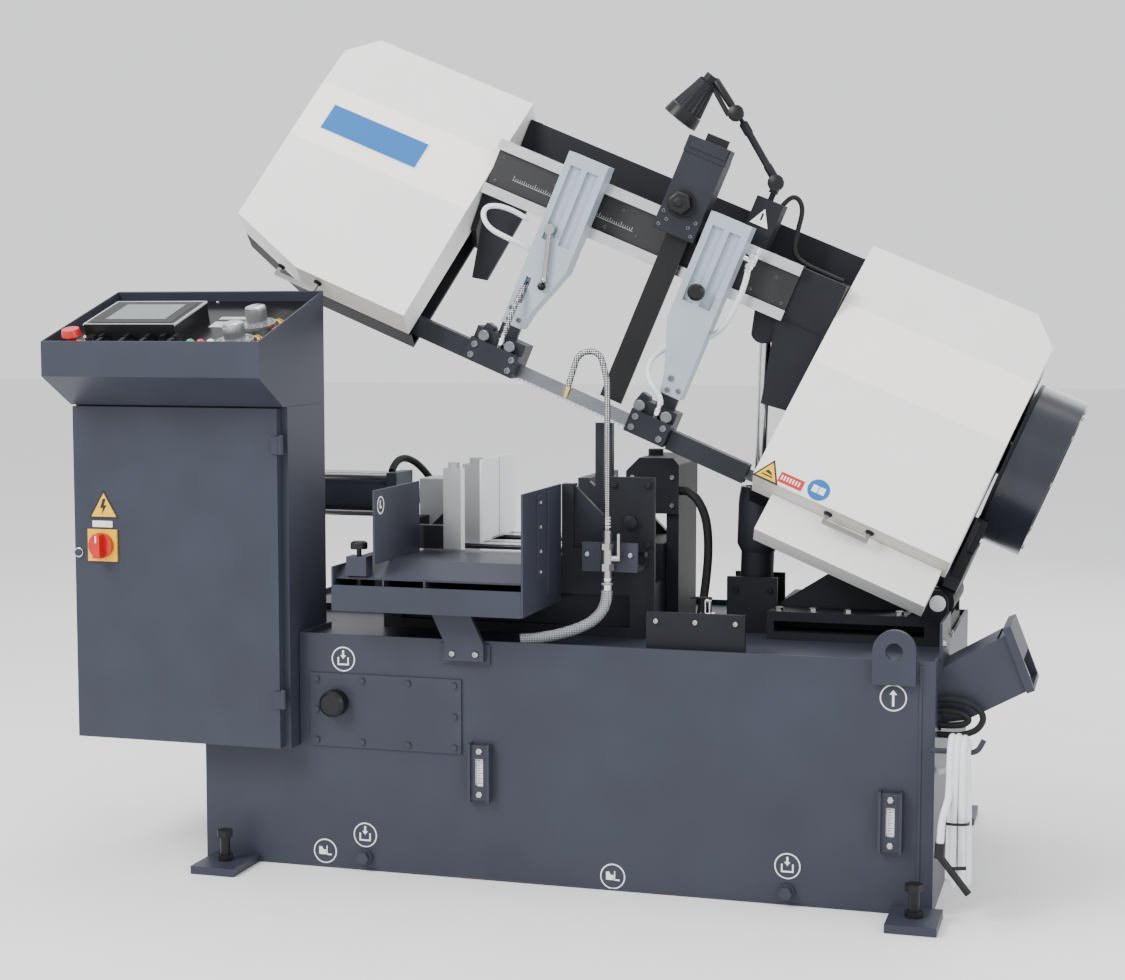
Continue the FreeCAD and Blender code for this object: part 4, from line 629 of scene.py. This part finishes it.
def vise_details():
    """Bolts of the jaws and guards, the stop screw, strip screws, hoses and the cylinder's tie rods."""
    joint = [cuboid((-244.9, -244.3), (84, 85), (640, 808))]
    piece("moving_jaw_joint_line", "moving_jaw", FLOOR, CAST_GREY, joint)
    bolts = []
    for x, y in ((20, 60), (20, 120), (120, -20), (120, 180), (40, -146), (120, -144)):
        bolts += hex_bolt((x, y, 644), (0, 0, 1), 9, 7)
    piece("fixed_jaw_bolts", "base", FLOOR, ZINC, bolts)
    plate = []
    for x in (80, 150):
        for z in (655, 775):
            plate += hex_bolt((x, -170, z), (0, -1, 0), 7, 5)
    plate += hex_bolt((115, -170, 700), (0, -1, 0), 15, 9)
    piece("hydraulic_plate_bolts", "base", FLOOR, BLACK_PAINT, plate)
    tank = []
    for x in (82, 166):
        for z in (722, 780):
            tank += cap_screw((x, -30, z), (0, -1, 0), 5, 4)
    piece("tank_screws", "base", FLOOR, ZINC, tank)
    knob = [lathe((-377, -397, 642), (0, 0, 1), [(0, 5), (14, 5), (14, 17), (26, 17), (29, 13)], 12)]
    knob += [lathe((-377, -397, 576), (0, 0, 1), [(0, 12), (8, 12), (8, 5), (28, 5)], 20)]
    piece("stop_screw", "base", FLOOR, BLACK_PLASTIC, knob, 0.8)
    strips = []
    for y in (-24, 30, 160, 216):
        for x in range(-380, -60, 80):
            strips.append(disc((x, y, 631.9), (0, 0, 1), 4, 0.25, 24))
    piece("strip_screws", "base", FLOOR, BLACK_INK, strips)
    piece("guard_sign", "base", FLOOR, WHITE_INK,
          [ring((-339.1, -380, 742), (-1, 0, 0), 12, 15, 0.5)])
    corner = [(-392, 736), (-383, 736), (-383, 740), (-388, 740), (-388, 752), (-392, 752)]
    piece("guard_sign_front", "base", FLOOR, WHITE_INK,
          [ring((-334.9, -388, 742), (1, 0, 0), 15, 18, 0.5), slab(corner, "x", -335, 0.6)])
    feed = [(180, -18, 752), (192, -24, 754), (206, -42, 752), (226, -52, 738), (244, -54, 700),
            (249, -54, 640), (245, -58, 575), (238, -66, 515), (232, -70, 470)]
    hose("hydraulic_hose", "base", FLOOR, RUBBER, feed, 9)
    back = [(-500, 100, 770), (-500, 130, 800), (-470, 175, 790), (-430, 215, 720), (-415, 270, 640),
            (-410, 285, 560), (-408, 288, 470)]
    hose("cylinder_hose", "base", FLOOR, RUBBER, back, 8)
    panel = [cuboid((-33.5, -31), (-330, -296), (600, 762)), cuboid((-33.5, -30), (-262, -252), (560, 765))]
    piece("guard_strips", "base", FLOOR, BASE_PAINT, panel, 0.5)
    studs = []
    for z in (612, 652, 700, 748):
        studs += cap_screw((-31, -313, z), (1, 0, 0), 4, 3)
    piece("guard_screws", "base", FLOOR, ZINC, studs)
    rods = [lathe((-716, 100 + dy, 720 + dz), (1, 0, 0), [(0, 7), (242, 7)], 16)
            for dy in (-40, 40) for dz in (-40, 40)]
    piece("cylinder_tie_rods", "base", FLOOR, ZINC, rods)


def saw_bed_details():
    """Ball valve, levelling screws and bolts on the bed that carries the head."""
    x, y = 285, -230
    body = [lathe((x, y, 465), (0, 0, 1), [(0, 9), (26, 9), (26, 15), (34, 15), (34, 12), (60, 12), (60, 15),
                                          (68, 15), (68, 8), (92, 8), (96, 5)], 28),
            lathe((x - 22, y, 508), (1, 0, 0), [(0, 9), (44, 9)], 6)]
    piece("bed_valve", "base", FLOOR, CHROME, body, 0.4)
    piece("bed_valve_handle", "base", FLOOR, BLACK_PAINT,
          [cuboid((x - 34, x + 8), (y - 5, y + 5), (560, 564))], 1)
    bolts = []
    for bx in (400, 470, 540, 640):
        bolts += hex_bolt((bx, -85, 522), (0, 0, 1), 9, 7)
    for bx in (410, 540, 640):
        bolts += hex_bolt((bx, 200, 522), (0, 0, 1), 9, 7)
    piece("bed_bolts", "base", FLOOR, ZINC, bolts)
    cheek = []
    for z in (485, 555):
        for bx in (300, 370):
            cheek += cap_screw((bx, -30, z), (0, -1, 0), 6, 5)
    piece("cheek_screws", "base", FLOOR, BLACK_PAINT, cheek)
    skirt = []
    for bx in (205, 282, 360):
        skirt += cap_screw((bx, -330, 528), (0, -1, 0), 5, 4)
    piece("skirt_screws", "base", FLOOR, ZINC, skirt)


# ---------------------------------------------------------------- head details

def cover_details():
    """Plain name badge, warning signs, handle ends and hinge barrels of the wheel covers."""
    face = COVER_FRONT
    piece("badge", "left_cover", TILT, WHITE_INK,
          [cuboid((-1586, -1350), (face - 1.0, face + 0.2), (-256, -187))], 0.3)
    piece("badge_field", "left_cover", TILT, BLUE,
          [cuboid((-1583, -1353), (face - 1.5, face - 0.8), (-253, -190))], 0.3)
    x, z = -402 + 8, -545
    low = face + 6.4
    piece("cover_triangle_rim", "right_cover", TILT, BLACK_INK,
          [slab([(x - 27, z - 20), (x + 27, z - 20), (x, z + 27)], "y", low, 1.2)])
    piece("cover_triangle", "right_cover", TILT, YELLOW,
          [slab([(x - 21, z - 16.5), (x + 21, z - 16.5), (x, z + 20)], "y", low - 0.4, 1)])
    piece("cover_triangle_mark", "right_cover", TILT, BLACK_INK,
          [slab([(x - 12, z - 11), (x + 11, z - 11), (x + 11, z - 8), (x - 12, z - 8)], "y", low - 0.8, 1),
           slab([(x - 8, z - 3), (x + 8, z - 6), (x + 8, z - 3), (x - 2, z + 3)], "y", low - 0.8, 1)])
    piece("cover_red_label", "right_cover", TILT, RED,
          [cuboid((-372, -322), (low, low + 1.2), (-556, -534))], 0.4)
    piece("cover_red_label_marks", "right_cover", TILT, WHITE_INK,
          [cuboid((-368 + 6 * step, -365 + 6 * step), (low - 0.4, low + 0.5), (-550, -540))
           for step in range(7)])
    piece("cover_blue_disc", "right_cover", TILT, BLUE,
          [disc((-292, low + 1, -538), (0, -1, 0), 22, 1.4)])
    piece("cover_blue_mark", "right_cover", TILT, WHITE_INK,
          [cuboid((-305, -293), (low - 0.9, low - 0.2), (-546, -531)),
           cuboid((-291, -279), (low - 0.9, low - 0.2), (-546, -531))])
    for side, x_low in (("left", -1505), ("right", -262)):
        ends = [lathe((x_low + at, 26, -563.2), (0, 0, -1), [(0, 9), (3, 9), (6, 6)], 20)
                for at in (4, 92)]
        piece(side + "_handle_ends", side + "_cover", TILT, BLACK_PLASTIC, ends)
    for side, x_hinge in (("left", -1500), ("left_two", -1300), ("right", -330), ("right_two", -120)):
        knuckles = [lathe((x_hinge, 83, 3), (1, 0, 0), [(0, 5), (60, 5)], 16)]
        piece(side + "_hinge_barrel", "head", TILT, ZINC, knuckles)


BLADE_FREE = (-965, -711)


def blade_details():
    """Saw teeth below the blade between the two guards."""
    pitch, depth, low = 10.0, 6.0, 64.2
    count = int((BLADE_FREE[1] - BLADE_FREE[0]) / pitch)
    teeth = []
    for step in range(count):
        x = BLADE_FREE[0] + pitch * step
        teeth.append(slab([(x, low + 0.4), (x + pitch * 0.96, low + 0.4), (x + pitch * 0.9, low - depth),
                           (x + pitch * 0.62, low - depth + 1)], "y", -90.7 + 0.3 * (step % 3), 1))
    piece("blade_teeth", "head", HEAD, MACHINED, teeth)


def rail_details():
    """Short engraved ruler and the countersunk screws of the dark plate between the rails."""
    face = SCALE_FRONT
    ticks = []
    for step in range(56):
        x = -1150 + 5 * step
        tall = 9 if step % 10 == 0 else (7 if step % 5 == 0 else 4.5)
        ticks.append(cuboid((x, x + 0.8), (face - 0.3, face + 0.2), (428, 428 + tall)))
    ticks.append(cuboid((-1152, -872), (face - 0.3, face + 0.2), (426.5, 427.3)))
    piece("scale_ticks", "head", HEAD, GREY_PLASTIC, ticks)
    screws = []
    for x, z in ((-1186, 464), (-1186, 412), (-1060, 452), (-930, 414), (-905, 460), (-860, 420),
                 (-700, 462), (-600, 414), (-560, 456), (-530, 412)):
        screws += cap_screw((x, face, z), (0, -1, 0), 3.5, 2)
    piece("rail_screws", "head", HEAD, BLADE_STEEL, screws)


def arm_details():
    """Bolts, bearings and coolant hoses of both guide arms."""
    for side, toe, head_x in (("left", -1021, (-1079, -967)), ("right", -655, (-709, -621))):
        body = side + "_arm"
        foot = cap_screw((toe - 12, ARM_FRONT, 190), (0, -1, 0), 6, 4)
        foot += cap_screw((toe + 12, ARM_FRONT, 172), (0, -1, 0), 5, 4)
        foot += cap_screw((toe - 10, ARM_FRONT, 166), (0, -1, 0), 5, 4)
        piece(side + "_arm_bolts", body, HEAD, BLADE_STEEL, foot)
        screws = []
        for x in (head_x[0] + 13, head_x[1] - 13):
            for z in (72, 95):
                screws += cap_screw((x, GUIDE_FRONT, z), (0, -1, 0), 7, 2.6)
        piece(side + "_guide_screws", body, HEAD, BLADE_STEEL, screws)
        centre = sum(head_x) / 2
        rollers = [lathe((centre + dx, GUIDE_FRONT + 4, 117), (0, 1, 0),
                         [(0, 10), (2, 12), (12, 12), (14, 10)], 32)
                   for dx in (-34, 26)]
        piece(side + "_guide_bearings", body, HEAD, BLADE_STEEL, rollers)
        lug = [(centre - 50, 118), (centre - 18, 118), (centre - 24, 140), (centre - 42, 144)]
        piece(side + "_guide_lug", body, HEAD, CASTING, [slab(lug, "y", -104, 30)], 2)
        fitting = [lathe((centre + 4, -109, 107), (0, -0.2, 1),
                         [(0, 7), (10, 7), (10, 9), (20, 9), (20, 6.5), (30, 6.5)], 20)]
        piece(side + "_guide_fitting", body, HEAD, CHROME, fitting)
    left_loop = [(-1046, -64, 312), (-1062, -72, 316), (-1098, -92, 318), (-1138, -98, 322),
                 (-1162, -94, 340), (-1165, -86, 360), (-1140, -76, 372), (-1104, -62, 372),
                 (-1080, -46, 366)]
    hose("left_guide_hose", "left_arm", HEAD, HOSE_WHITE, left_loop, 5.5)
    left_drop = [(-1023, -74, 246), (-1023, -88, 240), (-1022, -101, 220), (-1021, -110, 190),
                 (-1020, -112, 160), (-1019, -112, 136)]
    hose("left_guide_drop", "left_arm", HEAD, STEEL_BRAID, left_drop, 5.5)
    right_hose = [(-604, -104, 452), (-598, -102, 420), (-600, -98, 372), (-606, -84, 335), (-622, -56, 305),
                  (-648, -50, 282), (-680, -50, 262), (-706, -52, 240), (-724, -66, 212), (-718, -92, 184),
                  (-690, -108, 162), (-664, -112, 148), (-661, -112, 136)]
    hose("right_guide_hose", "right_arm", HEAD, HOSE_WHITE, right_hose, 6)
    cock = [lathe((-604, -104, 446), (0, 0, 1), [(0, 7), (8, 7), (8, 9), (16, 9), (16, 6), (30, 6),
                                               (30, 10), (38, 10), (40, 6)], 20),
            lathe((-622, -104, 470), (1, 0, 0), [(0, 5), (18, 5)], 16),
            cuboid((-600, -594), (-108, -100), (462, 500))]
    piece("right_arm_cock", "right_arm", HEAD, CHROME, cock, 0.5)
    knob = [lathe((-684, ARM_FRONT, 370), (0, -1, 0), [(0, 8), (10, 8), (10, 17), (22, 17), (26, 12)], 32)]
    piece("right_arm_knob", "right_arm", HEAD, BLACK_PLASTIC, knob)
    piece("lock_lever_ball", "lock_lever", HEAD, BLACK_PLASTIC,
          [lathe((-990.2, -94, 262), (0.28, 0, -1), [(0, 4), (2, 7), (7, 9), (12, 7), (15, 3)], 24)])


def feeler_details():
    """Clamp knob, screws and the two thicker blocks of the feeler's clamp."""
    knob = [lathe((-784, -100, 520), (0, -1, 0),
                  [(0, 21), (3, 25), (12, 25), (16, 20), (16, 10), (21, 8)], 6)]
    knob += [ring((-784, -92.5, 520), (0, -1, 0), 12, 29, 4)]
    piece("feeler_star_knob", "head", HEAD, BLACK_PLASTIC, knob, 1.5)
    screws = []
    for x, z in ((-812, 466), (-800, 480), (-812, 494), (-741, 466), (-752, 480), (-741, 494),
                 (-808, 640), (-745, 640)):
        screws += cap_screw((x, -92, z), (0, -1, 0), 4, 2)
    piece("feeler_screws", "head", HEAD, BLADE_STEEL, screws)
    cap = [cuboid((-822.5, -730.5), (-94, -60), (618, 652.5)),
           cuboid((-821.8, -731.2), (-93, -70), (455.5, 502))]
    piece("feeler_cap_block", "head", HEAD, CASTING, cap, 1.5)


def lamp_details():
    """Fluted shade with its band and bulb, sleeves and knobs of the arm, the box's sign and the lead."""
    cap = Vector((-847, 5, 777))
    aim = Vector((-31, 0, -109)).normalized()
    side = aim.cross(Vector((0, 1, 0))).normalized()
    flutes = []
    for step in range(20):
        angle = math.tau * step / 20
        out = side * math.cos(angle) + Vector((0, 1, 0)) * math.sin(angle)
        start, end = cap + aim * 14 + out * 17, cap + aim * 84 + out * 31.5
        run = end - start
        flutes.append(lathe(start, run.normalized(), [(0, 0.8), (4, 1.8), (run.length, 2.2)], 8))
    piece("lamp_flutes", "lamp_head", HEAD, BLACK_PLASTIC, flutes)
    band = [lathe(cap + aim * 84, aim, [(0, 33), (2, 35.5), (22, 38.5), (26, 38.5)], 40)]
    piece("lamp_band", "lamp_head", HEAD, BLACK_PLASTIC, band, 0.8)
    low, top = Vector((-638, 5, 628)), Vector((-768, 5, 725))
    link = [lathe(cap + Vector((6, 0, -5)), (top - cap).normalized(),
                  [(0, 6), (6, 9), (62, 8), (70, 6)], 20)]
    piece("lamp_link_sleeve", "lamp_head", HEAD, BLACK_PLASTIC, link)
    glass = [lathe(cap + aim * 108, aim, [(0, 34), (3, 33), (5, 26), (6, 10)], 32)]
    piece("lamp_bulb", "lamp_head", HEAD, LAMP_GLASS, glass)
    way = (top - low).normalized()
    reach = (top - low).length
    sleeve = [lathe(low + way * 14, way, [(0, 6), (3, 9), (26, 9), (30, 7.5), (reach - 62, 7.5),
                                          (reach - 58, 9.5), (reach - 36, 9.5), (reach - 32, 6)], 24)]
    piece("lamp_arm_sleeve", "lamp_arm", HEAD, BLACK_PAINT, sleeve)
    for name, at, out, body in (("low", low, -12.2, "head"), ("top", top, -16.2, "lamp_head")):
        knob = [lathe(at + Vector((0, out, 0)), (0, -1, 0), [(0, 12), (3, 17), (10, 17), (13, 11)], 12)]
        piece("lamp_knob_" + name, body, HEAD, BLACK_PLASTIC, knob)
    x, y = -636, -20
    piece("lamp_box_sign", "head", HEAD, WHITE_INK,
          [slab([(x - 20, 537), (x + 20, 537), (x, 572)], "y", y - 0.8, 0.8)])
    piece("lamp_box_sign_mark", "head", HEAD, BLACK_INK,
          [slab([(x - 2, 548), (x + 2, 548), (x + 2, 563), (x - 2, 563)], "y", y - 1.3, 0.6)])
    hose("lamp_lead", "head", HEAD, RUBBER,
         [(-612, 10, 590), (-606, 14, 612), (-590, 20, 618), (-572, 24, 600), (-566, 26, 560),
          (-560, 26, 520), (-540, 28, 500), (-470, 30, 498), (-440, 30, 498)], 5)


def drive_details():
    """Casting round the lift barrel, motor fins and grille, belt guard lid, gearbox bolts, beam weld."""
    foot, way = Vector((333, 20, 500)), Vector((15, 0, 580.5)).normalized()
    neck = [lathe(foot + way * 128, way, [(0, 33), (0, 34.5), (16, 43), (96, 43), (112, 42), (134, 38.6),
                                          (134, 33)], 40, tube=True)]
    piece("lift_barrel_casting", "lift_barrel", FLOOR, CASTING, neck, 1.5)
    gland = []
    for step in range(6):
        angle = math.tau * step / 6
        out = Vector((33 * math.cos(angle), 33 * math.sin(angle), 0))
        gland += cap_screw(foot + way * 260 + out, way, 3.5, 3)
    piece("lift_barrel_screws", "lift_barrel", FLOOR, ZINC, gland)
    fins = []
    for step in range(24):
        angle = math.tau * step / 24
        centre = Vector((0, 330 + 80 * math.cos(angle), 350 + 80 * math.sin(angle)))
        if centre.z < 405 and centre.z > 275 or centre.z >= 405 and abs(centre.y - 330) > 48:
            side = Vector((0, -math.sin(angle), math.cos(angle))) * 1.6
            out = Vector((0, math.cos(angle), math.sin(angle))) * 7
            section = [centre - side - out, centre + side - out, centre + side + out, centre - side + out]
            fins.append(slab([(p.y, p.z) for p in section], "x", -240, 225))
    piece("motor_fins", "head", HEAD, BLACK_PAINT, fins)
    grille = [ring((-300.5, 330, 350), (-1, 0, 0), 10 + 11 * step, 15 + 11 * step, 2) for step in range(5)]
    piece("motor_grille", "head", HEAD, BLACK_PLASTIC, grille)
    box_screws = []
    for x in (-160, -70):
        for y in (295, 365):
            box_screws += cap_screw((x, y, 468), (0, 0, 1), 4, 3)
    piece("motor_box_screws", "head", HEAD, ZINC, box_screws)
    lid = []
    for degrees in range(60, 300, 40):
        angle = math.radians(degrees)
        lid += cap_screw((99, 120 + 150 * math.cos(angle), 294.5 + 150 * math.sin(angle)), (1, 0, 0), 5, 4)
    piece("belt_guard_screws", "head", HEAD, ZINC, lid)
    hub = (98.9, 120, 294.5)
    bearing = [ring(hub, (1, 0, 0), 30, 52, 2), ring(hub, (1, 0, 0), 118, 124, 1.5)]
    piece("belt_guard_rings", "head", HEAD, BLACK_PAINT, bearing, 0.8)
    bolts = []
    for z in (-230, -400):
        for x in (-275, -151):
            bolts += hex_bolt((x, 226, z), (0, 1, 0), 9, 7)
    piece("gearbox_bolts", "head", TILT, ZINC, bolts)
    weld = [cuboid((-1190, -432), (-22.8, -21.8), (384, 386))]
    piece("beam_weld", "head", HEAD, BLACK_PAINT, weld, 0.4)


def coolant_details():
    """Ribbed cuff of the gooseneck, clamps of the supply hose and the valve bracket's screws."""
    rings = [ring((84, -240, 696 + 6 * step), (0, 0, 1), 5, 8.2, 3.4) for step in range(4)]
    piece("gooseneck_cuff", "base", FLOOR, CHROME, rings)
    clamps = [ring((84, -240, 572), (0, 0, 1), 10.5, 12.4, 10), ring((84, -240, 590), (0, 0, 1), 8, 11.6, 6)]
    piece("supply_clamps", "base", FLOOR, CHROME, clamps, 0.4)
    screws = []
    for x in (40, 128):
        screws += cap_screw((x, -226, 640), (0, -1, 0), 5, 4)
    piece("valve_bracket_screws", "base", FLOOR, ZINC, screws)


set_stage()
dress_nodes()
repaint_nodes()
wash_hose()
base_details()
cabinet_details()
desk_details()
vise_details()
saw_bed_details()
cover_details()
blade_details()
rail_details()
arm_details()
feeler_details()
lamp_details()
drive_details()
coolant_details()
